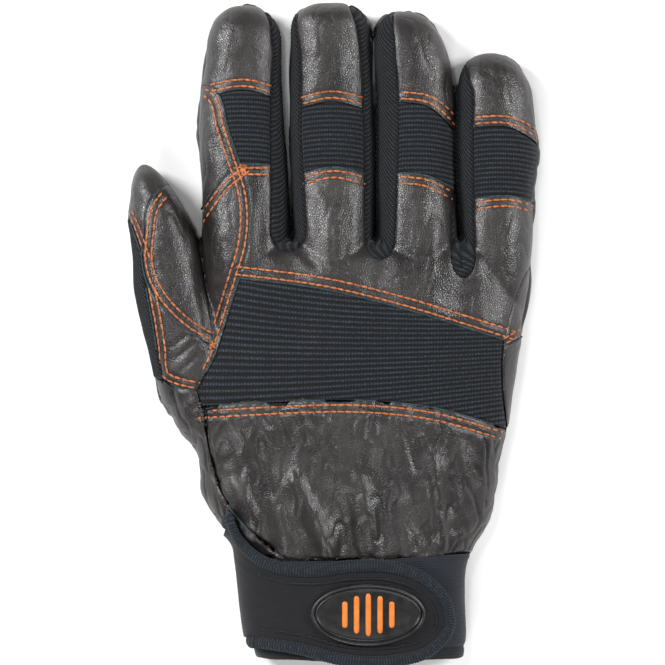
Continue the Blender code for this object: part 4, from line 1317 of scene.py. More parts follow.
@dataclass(frozen=True)
class LeatherFinish:
    """Goat leather, worn a little: grain, creases, pale patches that are partly worn tone and partly painted
    highlight, and painted shade in the dents along the stitches.
    """

    dark: Colour = (0.0045, 0.0034, 0.0031, 1.0)
    # Pale patch colour: partly worn tone, partly painted highlight standing in for broad sheen.
    light: Colour = (0.0270, 0.0228, 0.0218, 1.0)
    # Dark tone for the grain's cracks and for the painted shade in the dents along the stitches.
    seam: Colour = (0.0045, 0.0035, 0.0032, 1.0)
    grain_size: float = 1300.0
    grain_depth: float = 0.00005
    patch_scale: float = 62.0
    crease_share: float = 0.55
    stitch_shade_share: float = 0.75
    smooth: float = 0.25
    rough: float = 0.33
    specular: float = 0.58

    def build(self, name: str) -> bpy.types.Material:
        """The material, under a name.

        Args:
            name: the material's name.

        Returns:
            The material.
        """
        material, sketch, shader, place = new_material(name)
        grain = place_group(sketch, Group.GRAIN, {"Vector": place, "Size": self.grain_size})
        patches = place_group(sketch, Group.MOTTLE, {"Vector": place, "Scale": self.patch_scale}).outputs["Patches"]
        # Painted highlight: broad pale patches stand in for sheen, and are partly also worn tone.
        colour = sketch.mix(patches, self.dark, self.light)
        crease = sketch.math("MULTIPLY", grain.outputs["Crease"], self.crease_share)
        colour = sketch.mix(crease, colour, self.seam)
        # Painted shade: the leather is darker in the dents beside the stitches.
        stitch_shade = sketch.math("MULTIPLY", sketch.attribute("stitch"), self.stitch_shade_share)
        colour = sketch.mix(stitch_shade, colour, self.seam)
        rough = sketch.ramp(patches, 0.0, 1.0, self.smooth, self.rough)
        rough = sketch.math("ADD", rough, sketch.math("MULTIPLY", grain.outputs["Crease"], 0.15))
        sketch.feed(shader, {"Base Color": colour, "Roughness": rough, "Specular IOR Level": self.specular})
        set_bump(sketch, shader, grain.outputs["Height"], self.grain_depth)
        return material


@dataclass(frozen=True)
class KnitFinish:
    """Elastic knit in rows of loops, from the rows and columns that the mesh stores."""

    deep: Colour = (0.0016, 0.0020, 0.0030, 1.0)
    yarn: Colour = (0.040, 0.051, 0.070, 1.0)
    depth: float = 0.00022
    patch_scale: float = 110.0
    roughness: float = 0.85
    specular: float = 0.25
    sheen: float = 0.06

    def build(self, name: str) -> bpy.types.Material:
        """The material, under a name.

        Args:
            name: the material's name.

        Returns:
            The material.
        """
        material, sketch, shader, place = new_material(name)
        inputs = {"Along": sketch.attribute("along"), "Across": sketch.attribute("across"), "Vector": place}
        yarn = place_group(sketch, Group.YARN, inputs)
        patches = place_group(sketch, Group.MOTTLE, {"Vector": place, "Scale": self.patch_scale}).outputs["Patches"]
        share = sketch.math("MULTIPLY", yarn.outputs["Loops"], sketch.ramp(patches, 0.0, 1.0, 0.65, 1.0), clamp=True)
        sketch.feed(shader, {
            "Base Color": sketch.mix(share, self.deep, self.yarn), "Roughness": self.roughness,
            "Specular IOR Level": self.specular, "Sheen Weight": self.sheen,
        })
        set_bump(sketch, shader, yarn.outputs["Height"], self.depth)
        return material


@dataclass(frozen=True)
class JerseyFinish:
    """Fine jersey over foam."""

    deep: Colour = (0.0035, 0.0042, 0.0068, 1.0)
    yarn: Colour = (0.016, 0.020, 0.032, 1.0)
    pitch: float = 0.00075
    depth: float = 0.00010
    patch_scale: float = 90.0
    roughness: float = 0.8
    specular: float = 0.3
    sheen: float = 0.08

    def build(self, name: str) -> bpy.types.Material:
        """The material, under a name.

        Args:
            name: the material's name.

        Returns:
            The material.
        """
        material, sketch, shader, place = new_material(name)
        weave = place_group(sketch, Group.WEAVE, {"Vector": place, "Pitch": self.pitch})
        patches = place_group(sketch, Group.MOTTLE, {"Vector": place, "Scale": self.patch_scale}).outputs["Patches"]
        share = sketch.math("MULTIPLY", weave.outputs["Loops"], sketch.ramp(patches, 0.0, 1.0, 0.7, 1.0))
        sketch.feed(shader, {
            "Base Color": sketch.mix(share, self.deep, self.yarn), "Roughness": self.roughness,
            "Specular IOR Level": self.specular, "Sheen Weight": self.sheen,
        })
        set_bump(sketch, shader, weave.outputs["Height"], self.depth)
        return material


@dataclass(frozen=True)
class PlainFinish:
    """A smooth or cut surface with fine unevenness: rubber, thread or a raw edge."""

    dark: Colour
    light: Colour
    roughness: float = 0.5
    scale: float = 500.0
    depth: float = 0.00003
    specular: float = 0.5

    def build(self, name: str) -> bpy.types.Material:
        """The material, under a name.

        Args:
            name: the material's name.

        Returns:
            The material.
        """
        material, sketch, shader, place = new_material(name)
        fleck = sketch.add("ShaderNodeTexNoise", {"Vector": place, "Scale": self.scale, "Detail": 3.0})
        share = sketch.ramp(fleck.outputs["Fac"], 0.30, 0.70)
        rough = sketch.ramp(share, 0.0, 1.0, self.roughness - 0.07, self.roughness + 0.07)
        colour = sketch.mix(share, self.dark, self.light)
        sketch.feed(shader, {"Base Color": colour, "Roughness": rough, "Specular IOR Level": self.specular})
        set_bump(sketch, shader, fleck.outputs["Fac"], self.depth)
        return material


FINISHES = {
    "leather": LeatherFinish(),
    "knit": KnitFinish(),
    "mesh": KnitFinish(deep=(0.0012, 0.0015, 0.0020, 1.0), yarn=(0.030, 0.038, 0.048, 1.0), depth=0.00028),
    "neoprene": JerseyFinish(deep=(0.0050, 0.0065, 0.0105, 1.0), yarn=(0.026, 0.034, 0.056, 1.0)),
    "elastic": JerseyFinish(deep=(0.0025, 0.003, 0.004, 1.0), yarn=(0.014, 0.017, 0.024, 1.0), pitch=0.0009),
    "jersey": JerseyFinish(deep=(0.0015, 0.0017, 0.0028, 1.0), yarn=(0.0065, 0.0072, 0.0125, 1.0)),
    "binding": KnitFinish(deep=(0.005, 0.007, 0.010, 1.0), yarn=(0.028, 0.040, 0.053, 1.0), depth=0.00014),
    "thread": PlainFinish((0.21, 0.043, 0.007, 1.0), (0.52, 0.165, 0.042, 1.0), 0.55, 900.0, 0.00008),
    "raw_edge": PlainFinish((0.012, 0.022, 0.027, 1.0), (0.040, 0.066, 0.074, 1.0), 0.8, 700.0, 0.00008, 0.2),
    "rubber": PlainFinish((0.0035, 0.0035, 0.004, 1.0), (0.009, 0.009, 0.010, 1.0), 0.38, 250.0, 0.00002),
    "orange_rubber": PlainFinish((0.52, 0.13, 0.012, 1.0), (0.62, 0.18, 0.02, 1.0), 0.45, 300.0, 0.00002),
}


def finish(name: str) -> bpy.types.Material:
    """The material of a named finish, made once."""
    return bpy.data.materials.get(f"{name}_finish") or FINISHES[name].build(f"{name}_finish")


def dress(piece: bpy.types.Object, material: str, nodes: Sequence[str]) -> None:
    """Gives a piece its material and its body, and hides the CAD nodes that it replaces.

    Args:
        piece: the finished piece.
        material: the name of its finish.
        nodes: the CAD nodes that it replaces.
    """
    piece.data.materials.clear()
    piece.data.materials.append(finish(material))
    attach(piece, "root")
    if nodes:
        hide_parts(*nodes)
    LOG.info("%s: %d faces", piece.name, len(piece.data.polygons))


class PieceMesh:
    """The arrays of a sewn piece: its places, its outer face and how far each point is from its edge."""

    def __init__(self, piece: bpy.types.Object) -> None:
        """Reads the mesh of a piece whose outer faces have material 0.

        Args:
            piece: the sewn piece.
        """
        self.mesh = piece.data
        mesh = self.mesh
        self.points = mesh_points(mesh)
        loops = np.empty(len(mesh.loops), np.int32)
        mesh.loops.foreach_get("vertex_index", loops)
        totals = np.empty(len(mesh.polygons), np.int32)
        mesh.polygons.foreach_get("loop_total", totals)
        kinds = np.empty(len(mesh.polygons), np.int32)
        mesh.polygons.foreach_get("material_index", kinds)
        normals = np.empty(len(mesh.polygons) * 3, np.float32)
        mesh.polygons.foreach_get("normal", normals)
        areas = np.empty(len(mesh.polygons), np.float32)
        mesh.polygons.foreach_get("area", areas)
        owner = np.repeat(np.arange(len(totals)), totals)
        outside = kinds[owner] == 0
        self.normals = np.zeros((len(mesh.vertices), 3))
        weighted = normals.reshape(-1, 3)[owner[outside]] * areas[owner[outside], None]
        np.add.at(self.normals, loops[outside], weighted)
        sizes = np.linalg.norm(self.normals, axis=1)
        self.outer = sizes > 0
        self.normals[self.outer] /= sizes[self.outer, None]
        inner = np.zeros(len(mesh.vertices), bool)
        inner[loops[~outside]] = True
        self.rim = self.outer & inner
        self.edge = self.distances()

    def distances(self) -> np.ndarray:
        """How far each outer point is from the piece's edge, in metres.

        Returns:
            One distance for each point, FAR_OFF where it isn't on the outer face.
        """
        away = np.full(len(self.points), FAR_OFF)
        rim = self.points[self.rim]
        if not len(rim):
            return away
        away[self.outer] = nearest(search_tree(rim.tolist()), self.points[self.outer])
        return away

    def push(self, heights: np.ndarray) -> None:
        """Moves the outer points along their normals, and keeps all above the floor.

        Args:
            heights: how far each point moves out.
        """
        self.points += self.normals * (heights * self.outer)[:, None]
        self.points[:, 2] = np.maximum(self.points[:, 2], 0.0)
        set_points(self.mesh, self.points)


@dataclass
class SewnShell:
    """The soft body of the glove: one hollow form, parted along its seams."""

    form: GloveForm
    seams: SeamLines
    stitch_places: list[Plan]
    voxel: float = 0.00062
    finger_wall: float = 0.0016
    hand_wall: float = 0.0019
    hem_length: float = 0.0040
    cuff_seam: float = 1.03
    lead: float = 0.0040
    open_width: float = 0.0009
    open_feet: tuple[tuple[str, float], ...] = (("slit_index", 0.040), ("slit_middle", 0.079))
    tip_growth: float = 0.0008
    cuff_drops: tuple[Plan, ...] = ((-0.028, 0.0), (-0.018, 1.8), (0.014, 1.8), (0.030, 0.2))
    fold_room: float = 0.0016
    run_out: float = 0.006
    outer_grid: tuple[int, int] = (96, 110)
    outer_digit_grid: tuple[int, int] = (48, 40)
    hollow_grid: tuple[int, int] = (64, 60)
    hollow_digit_grid: tuple[int, int] = (24, 16)
    pieces: dict[str, bpy.types.Object] = field(default_factory=dict)

    def digit_rings(self, name: str, wall: float, grid: tuple[int, int]) -> list[list[Vector]]:
        """The rings of a digit, or of its hollow when a wall is given.

        Args:
            name: the digit.
            wall: the wall left outside the rings, or 0 for the outer form.
            grid: points round a ring, and steps along.

        Returns:
            The rings.
        """
        sides, steps = grid
        digit = DIGITS[name]
        root_y = self.form.digit_place(name)[1]
        first, start = digit.rows[0].along, digit.rows[-1].along
        stations = [first + (start - first) * step / steps for step in range(steps)]
        stations += [start + (1 - start) * math.sin(math.pi / 2 * step / 14) for step in range(15)]
        rings = []
        for along in stations:
            left, right, low, high = self.form.digit_section(name, along)
            section = (left + wall, right - wall, low + wall, high - wall)
            if section[1] - section[0] < 2 * wall or section[3] - section[2] < 2 * wall:
                continue
            y = root_y + along * (digit.length + (-wall if wall else self.tip_growth))
            rings.append(self.form.ring(section, y, sides, self.form.round_top, wall))
        return rings

    def hand_rings(self, wall: float, first: float, grid: tuple[int, int]) -> list[list[Vector]]:
        """The rings of the hand and cuff, or of their hollow when a wall is given.

        Args:
            wall: the wall left outside the rings, or 0 for the outer form.
            first: where they start, as a share of the palm's length.
            grid: points round a ring, and steps along.

        Returns:
            The rings.
        """
        sides, steps = grid
        top = self.form.knuckle_y - first * self.form.palm_length
        rings = []
        for step in range(steps + 1):
            y = top + (self.form.hem_y - top) * step / steps
            left, right, low, high = self.form.hand_section(y)
            section = (left + wall, right - wall, low + wall, high - wall - (self.fold_room if wall else 0.0))
            rings.append(self.form.ring(section, y, sides, self.form.wrist_round_top, wall))
        return rings

    def outer_form(self) -> bpy.types.Object:
        """The smooth outer skin of hand and digits in one.

        Returns:
            The skin.
        """
        shape = loft(self.hand_rings(0.0, HAND_ROWS[0].along, self.outer_grid))
        body = new_object("outer_form", shape)
        digits = []
        for name in DIGITS:
            digits.append(new_object(f"outer_{name}", loft(self.digit_rings(name, 0.0, self.outer_digit_grid))))
        combine(body, digits, "UNION")
        remesh = body.modifiers.new("remesh", "REMESH")
        remesh.mode = "VOXEL"
        remesh.voxel_size = self.voxel
        remesh.use_smooth_shade = True
        smooth = body.modifiers.new("smooth", "SMOOTH")
        smooth.factor = 0.5
        smooth.iterations = 9
        skin = evaluated(body, "outer_skin")
        remove(digits)
        self.knead(skin.data)
        return skin

    def knead(self, mesh: bpy.types.Mesh) -> None:
        """Folds, soft unevenness and the flat that the glove rests on.

        Args:
            mesh: the skin's mesh, changed in place.
        """
        points = mesh_points(mesh)
        normals = np.empty(len(points) * 3, np.float32)
        mesh.vertices.foreach_get("normal", normals)
        normals = normals.reshape(-1, 3)
        up = np.clip(normals[:, 2], 0.0, 1.0)
        points[:, 2] += self.form.fold_height(points[:, 0], points[:, 1]) * up
        for crease in CREASES:
            start, end = np.array(photo_place(*crease.start)), np.array(photo_place(*crease.end))
            run = end - start
            away = points[:, :2] - start
            share = np.clip(away @ run / (run @ run), 0.0, 1.0)
            away = np.hypot(*(away - share[:, None] * run).T) / crease.width
            fade = 0.35 + 0.65 * np.sin(math.pi * share)
            points[:, 2] += crease.height * np.exp(-away * away) * fade * up
        soft = noise_at(points, 60.0) * 0.40 * MM + noise_at(points, 150.0, 7.0) * 0.22 * MM
        above = np.clip((points[:, 2] - 0.003) / 0.004, 0.0, 1.0)
        points += normals * (soft * above)[:, None]
        flat = 0.7 * MM
        low = np.clip(points[:, 2] / flat, 0.0, 1.0)
        points[:, 2] = np.where(points[:, 2] < flat, np.maximum(points[:, 2], 0.0) * low, points[:, 2])
        set_points(mesh, points)

    def hollow(self) -> bpy.types.Object:
        """The hollow of hand and digits, which runs out through the wrist's opening.

        Returns:
            The solid.
        """
        rings = self.hand_rings(self.hand_wall, 0.01, self.hollow_grid)
        past = [Vector((point.x, self.form.hem_y - self.run_out, point.z)) for point in rings[-1]]
        inside = new_object("hollow", loft(rings + [past]))
        digits = []
        for name in DIGITS:
            rings = self.digit_rings(name, self.finger_wall, self.hollow_digit_grid)
            digits.append(new_object(f"hollow_{name}", loft(rings)))
        combine(inside, digits, "UNION")
        made = evaluated(inside, "hollow_form")
        remove(digits)
        return made

    def cutter(self) -> bpy.types.Object:
        """Every seam cut in one solid.

        Returns:
            The solid.
        """
        low, high = PALM_SEAM_HEIGHT + SEAM_GAP / 2, ABOVE_ALL
        parts = []
        for name, line in self.seams.lines.items():
            if name == "thumb_web":
                continue
            bottom = -BELOW_ALL if name.startswith("slit") else low
            parts.append(blade(name, line, bottom, high, self.lead if name == "thumb_valley" else 3 * SEAM_GAP))
        for name, foot in self.open_feet:
            line = [point for point in self.seams.lines[name] if point[1] > foot]
            parts.append(blade(f"open_{name}", line, -BELOW_ALL, high, 3 * SEAM_GAP, self.open_width))
        palm = smooth_line([self.form.plan_point(stop) for stop in PALM_THUMB], 6)
        parts.append(blade("palm_thumb", palm, -BELOW_ALL, low, self.lead))
        reach = self.form.knuckle_width
        seam_y = self.form.knuckle_y - self.cuff_seam * self.form.palm_length
        cuff_line = [(-reach, seam_y)] + [(x, seam_y - drop * MM) for x, drop in self.cuff_drops] + [(reach, seam_y)]
        parts.append(blade("cuff_cut", cuff_line, -BELOW_ALL, high))
        hem = self.form.hem_y + self.hem_length
        parts.append(blade("hem_cut", [(-reach, hem), (reach, hem)], -BELOW_ALL, high))
        slab = [(-reach, seam_y), (reach, seam_y), (reach, reach * 2), (-reach, reach * 2)]
        whole = prism("palm_cut", slab, PALM_SEAM_HEIGHT, PALM_SEAM_HEIGHT + SEAM_GAP)
        combine(whole, parts, "UNION")
        made = evaluated(whole, "seam_cuts")
        remove(parts)
        return made

    def build(self) -> None:
        """Makes the shell, parts it, names the pieces and shapes each one."""
        skin = self.outer_form()
        cuts = [self.hollow(), self.cutter()]
        marks = [bpy.data.materials.new(f"mark_{number}") for number in range(2)]
        for item, number in ((skin, 0), (cuts[0], 1), (cuts[1], 1)):
            item.data.materials.clear()
            for mark in marks:
                item.data.materials.append(mark)
            item.data.polygons.foreach_set("material_index", [number] * len(item.data.polygons))
        combine(skin, cuts, "DIFFERENCE")
        shell = evaluated(skin, "shell")
        remove(cuts)
        before = set(bpy.data.objects) - {shell}
        bpy.ops.object.select_all(action="DESELECT")
        bpy.context.view_layer.objects.active = shell
        shell.select_set(True)
        bpy.ops.object.mode_set(mode="EDIT")
        bpy.ops.mesh.select_all(action="SELECT")
        bpy.ops.mesh.separate(type="LOOSE")
        bpy.ops.object.mode_set(mode="OBJECT")
        loose = [item for item in bpy.data.objects if item not in before]
        self.name_pieces(loose)
        for seed in SEEDS:
            self.shape(seed, self.pieces[seed.name])

    def name_pieces(self, loose: list[bpy.types.Object]) -> None:
        """Finds each piece by its seed, and removes the slivers between them.

        Args:
            loose: the loose parts of the cut shell.
        """
        graph = bpy.context.evaluated_depsgraph_get()
        trees = [(item, BVHTree.FromObject(item, graph)) for item in loose if len(item.data.polygons) > 100]
        for seed in SEEDS:
            x, y = self.form.plan_point(Stop(seed.frame, seed.across, seed.along))
            start = Vector((x, y, -BELOW_ALL if seed.below else ABOVE_ALL))
            way = Vector((0, 0, 1 if seed.below else -1))
            hits = []
            for number, (item, tree) in enumerate(trees):
                distance = tree.ray_cast(start, way)[3]
                if distance is not None:
                    hits.append((distance, number))
            piece = trees[min(hits)[1]][0]
            piece.name = f"sewn_{seed.name}"
            piece.data.name = piece.name
            self.pieces[seed.name] = piece
        kept = set(self.pieces.values())
        remove([item for item in loose if item not in kept])

    def shape(self, seed: Seed, piece: bpy.types.Object) -> None:
        """Gives a piece its own surface: sunk or raised edges, ribs, dents along its stitches.

        Args:
            seed: the piece's row of the table.
            piece: the piece.
        """
        mesh = piece.data
        if seed.cloth in (Cloth.KNIT, Cloth.MESH):
            refine(mesh)
        state = PieceMesh(piece)
        edge = state.edge
        if seed.cloth is Cloth.LEATHER:
            self.shape_leather(seed, state)
        elif seed.cloth in RIBS:
            rib = RIBS[seed.cloth]
            knit = seed.cloth is Cloth.KNIT
            along, across = self.knit_places(seed, state.points) if knit else self.mesh_places(state.points)
            ribs = (0.5 + 0.5 * np.cos(2 * math.pi * along)) ** rib.power
            fade = 1 - bell(edge, rib.fade * MM)
            sunk = -rib.sunk * MM - rib.edge * MM * bell(edge, rib.edge_width * MM)
            state.push(sunk + rib.height * MM * ribs * fade)
            write_attributes(mesh, along=along, across=across)
        else:
            state.push(-0.45 * MM * bell(edge, 0.7 * MM))
        mesh.shade_smooth()
        mesh.set_sharp_from_angle(angle=math.radians(42))
        dress(piece, seed.cloth.value, [seed.name])

    def shape_leather(self, seed: Seed, state: PieceMesh) -> None:
        """Rolled edges, puckers beside the stitches and soft wrinkles.

        Args:
            seed: the piece's row of the table.
            state: the piece's arrays.
        """
        points, edge = state.points, state.edge
        away = np.full(len(points), FAR_OFF)
        if not seed.below:
            tree = search_tree([(x, y, 0.0) for x, y in self.stitch_places])
            chosen = state.outer & (points[:, 2] > PALM_SEAM_HEIGHT)
            away[chosen] = nearest(tree, points[chosen] * np.array([1.0, 1.0, 0.0]))
        sewn = bell(away, 0.75 * MM)
        pucker = bell(away, 4.0 * MM) * (1 - sewn)
        wrinkle = 1 - np.abs(noise_at(points * np.array([1.0, 0.45, 1.0]), 230.0, 3.0))
        wrinkle = np.clip((wrinkle - 0.74) / 0.26, 0.0, 1.0)
        inland = np.clip((edge - 3 * MM) / (5 * MM), 0.0, 1.0)
        puff = noise_at(points, 330.0, 11.0)
        ripple = noise_at(points * np.array([1.0, 0.22, 0.5]), 270.0, 21.0)
        folds = noise_at(points * np.array([1.0, 0.50, 0.5]), 115.0, 31.0)
        depth, broad = (0.24, 1.25) if seed.name == "back_leather" else (0.10, 0.55)
        heights = -0.22 * MM * sewn + 0.20 * MM * puff * pucker - 0.20 * MM * wrinkle * inland
        heights = heights + (depth * ripple + broad * folds) * MM * inland
        heights = heights - 0.30 * MM * bell(edge, 0.45 * MM)
        if seed.below:
            heights = -0.5 * MM * bell(edge, 0.8 * MM)
        low_edge = bell(edge, 0.9 * MM) * (points[:, 2] < PALM_SEAM_HEIGHT + 2.5 * MM)
        heights = heights - 0.45 * MM * low_edge * (not seed.below)
        state.push(heights)
        # The stitch mask; the leather finish paints shade with it in the dents along the stitches.
        write_attributes(state.mesh, stitch=sewn)

    def knit_places(self, seed: Seed, points: np.ndarray) -> tuple[np.ndarray, np.ndarray]:
        """Where each point lies in the rows and columns of a stretch panel.

        Args:
            seed: the panel.
            points: its points.

        Returns:
            The place along and across, counted in ribs and in columns.
        """
        x, y, z = points.T
        if seed.name == "hand_stretch":
            middle = self.form.knuckle_x + self.form.knuckle_width / 2
            bend = KNIT_BEND * ((x - middle) / 0.05) ** 2 - 0.10 * (x - middle) * np.clip((y + 0.004) / 0.02, -1, 1)
            return (y - bend) / HAND_RIB, x / HAND_COLUMN
        name = seed.name.split("_")[0]
        digit = FINGERS[name]
        left, right, _, high = self.form.digit_section(name, 0.47)
        middle, half = (left + right) / 2, (right - left) / 2
        waist = self.form.waist * high
        angle = np.arctan2(np.maximum(z - waist, -0.002), x - middle)
        bend = KNIT_BEND * ((x - middle) / half) ** 2
        return (y + bend) / FINGER_RIB, -angle * half * 0.92 / FINGER_COLUMN + digit.width

    def mesh_places(self, points: np.ndarray) -> tuple[np.ndarray, np.ndarray]:
        """Where each point lies in the slanted rows of a side strip.

        Args:
            points: the strip's points.

        Returns:
            The place along and across, counted in rows and in columns.
        """
        x, y, z = points.T
        slant = y + 0.9 * z + 0.5 * x
        return slant / SIDE_ROW, (y - 1.2 * z) / SIDE_COLUMN


def refine(mesh: bpy.types.Mesh) -> None:
    """Halves the outer faces of a mesh, whose material is 0.

    Args:
        mesh: the mesh, changed in place.
    """
    shape = bmesh.new()
    shape.from_mesh(mesh)
    many = [face for face in shape.faces if len(face.verts) > 4]
    bmesh.ops.triangulate(shape, faces=many)
    edges = {edge for face in shape.faces if face.material_index == 0 for edge in face.edges}
    bmesh.ops.subdivide_edges(shape, edges=list(edges), cuts=1, use_grid_fill=True)
    shape.to_mesh(mesh)
    shape.free()


@dataclass
class Surface:
    """The outer faces that stitches and edges lie on."""

    objects: Sequence[bpy.types.Object]
    trees: list[BVHTree] = field(default_factory=list)

    def __post_init__(self) -> None:
        """Builds a search tree for each object."""
        graph = bpy.context.evaluated_depsgraph_get()
        self.trees = [BVHTree.FromObject(item, graph) for item in self.objects]

    def drop(self, x: float, y: float) -> tuple[Vector, Vector, int] | None:
        """The highest point straight below a plan point, with its normal and its object's number.

        Args:
            x: its place across.
            y: its place up the page.

        Returns:
            The point, its normal and its object's number, or None where nothing lies there.
        """
        best: tuple[Vector, Vector, int] | None = None
        for number, tree in enumerate(self.trees):
            place, normal, _, _ = tree.ray_cast(Vector((x, y, ABOVE_ALL)), Vector((0, 0, -1)))
            if place is not None and (best is None or place.z > best[0].z):
                best = (place, normal, number)
        return best


@dataclass
class Stitching:
    """Double rows of orange thread beside the seams, with knots where rows meet."""

    seams: SeamLines
    pitch: float = 0.00255
    length: float = 0.0026
    width: float = 0.00082
    height: float = 0.00056
    overrun: float = 0.0016
    level_least: float = 0.12
    tacks: tuple[Plan, ...] = ((242, 166), (244, 169), (213, 345), (495, 341))
    rows: list[list[Vector]] = field(default_factory=list)

    def plan(self) -> list[Plan]:
        """Works out the rows, and gives every stitch's place in the plan.

        Returns:
            Places close together along every row.
        """
        for run in RUNS:
            line = even_line(self.seams.lines[run.seam], STITCH_STEP)
            count = len(line) - 1
            line = line[int(count * run.start): int(count * run.end) + 1]
            if run.start == 0.0:
                line = [line[0] + (line[0] - line[3]).normalized() * self.overrun] + line
            if run.end == 1.0:
                line = line + [line[-1] + (line[-1] - line[-4]).normalized() * self.overrun]
            line = even_line(line, STITCH_STEP)
            for offset in run.offsets:
                self.rows.append(beside(line, offset * run.side))
        for top, low in (((160, 376), (159, 398)), ((163, 377), (161.5, 398))):
            ends = [Vector(photo_place(*top)), Vector(photo_place(*low))]
            self.rows.append(even_line(ends, STITCH_STEP))
        return [(point.x, point.y) for row in self.rows for point in row[::2]]

    def build(self, surface: Surface) -> None:
        """Lays every stitch on the leather.

        Args:
            surface: the leather that it lies on.
        """
        chance = random.Random(11)
        shape = bmesh.new()
        for row in self.rows:
            line = even_line(row, self.pitch)
            for start, end in zip(line, line[1:]):
                centre = (start + end) / 2
                way = (end - start).normalized()
                self.lay(shape, surface, centre, way, chance.uniform(-0.09, 0.09), 1.0)
        for x, y in self.tacks:
            centre = Vector(photo_place(x, y))
            for turn in range(9):
                way = Vector((math.cos(turn * 2.4), math.sin(turn * 2.4)))
                near = centre + Vector((chance.uniform(-1, 1), chance.uniform(-1, 1))) * 0.7 * MM
                self.lay(shape, surface, near, way, 0.0, 1.15)
        thread = new_object("stitching", shape)
        thread.data.shade_smooth()
        dress(thread, "thread", [])

    def lay(self, shape: bmesh.types.BMesh, surface: Surface, centre: Vector, way: Vector, turn: float,
            size: float) -> None:
        """Adds one stitch, unless there is no leather under it.

        Args:
            shape: the bmesh that takes it.
            surface: what it lies on.
            centre: its place in the plan.
            way: its direction in the plan.
            turn: how far it is turned, in radians.
            size: its share of the usual size.
        """
        ends = [surface.drop(*(centre + way * reach)) for reach in (-0.3 * self.length, 0.3 * self.length)]
        middle = surface.drop(*centre)
        if middle is None or None in ends or middle[1].z < self.level_least:
            return
        run = (ends[1][0] - ends[0][0]).normalized()
        across = middle[1].cross(run).normalized()
        run = (run + across * turn).normalized()
        normal = run.cross(across).normalized()
        if normal.z < 0:
            normal = -normal
        across = normal.cross(run)
        frame = Matrix((across * self.width / 2, normal * self.height / 2, run * self.length / 2)).transposed()
        place = Matrix.Translation(middle[0] + normal * 0.08 * MM) @ (frame * size).to_4x4()
        bmesh.ops.create_uvsphere(shape, u_segments=6, v_segments=5, radius=1.0, matrix=place)


def photo_place(x: float, y: float) -> Plan:
    """The plan place of a point of the photograph, given in its pixels."""
    return (x - PHOTO_CENTRE[0]) / PHOTO_SCALE, (PHOTO_CENTRE[1] - y) / PHOTO_SCALE


@dataclass
class RawEdges:
    """The cut edges of the leather, where it lies over the stretch cloth."""

    seams: SeamLines
    half_width: float = 0.00034
    half_height: float = 0.00030
    level_least: float = 0.15
    pitch: float = 0.0006

    def build(self, surface: Surface) -> None:
        """A thin flat cord along each leather edge.

        Args:
            surface: the leather that it lies on.
        """
        whole = bmesh.new()
        for run in RUNS:
            if not run.raw_edge:
                continue
            line = even_line(self.seams.lines[run.seam], self.pitch)
            count = len(line) - 1
            line = line[int(count * run.start): int(count * run.end) + 1]
            out, inland = beside(line, -0.08 * MM * run.side), beside(line, 0.35 * MM * run.side)
            path, ups = [], []
            for place, near in zip(out, inland):
                hit = surface.drop(*near)
                if hit is None or hit[1].z < self.level_least:
                    continue
                path.append(Vector((place.x, place.y, hit[0].z - 0.30 * MM)))
                ups.append(hit[1])
            if len(path) < 4:
                continue
            path = [path[0]] + [(a + b + c) / 3 for a, b, c in zip(path, path[1:], path[2:])] + [path[-1]]
            count = len(path)
            edge = tube(path, ups, [self.half_width] * count, [self.half_height] * count, 8)
            mesh = bpy.data.meshes.new("edge_part")
            edge.to_mesh(mesh)
            edge.free()
            whole.from_mesh(mesh)
            bpy.data.meshes.remove(mesh)
        cords = new_object("raw_edges", whole)
        cords.data.shade_smooth()
        dress(cords, "raw_edge", [])


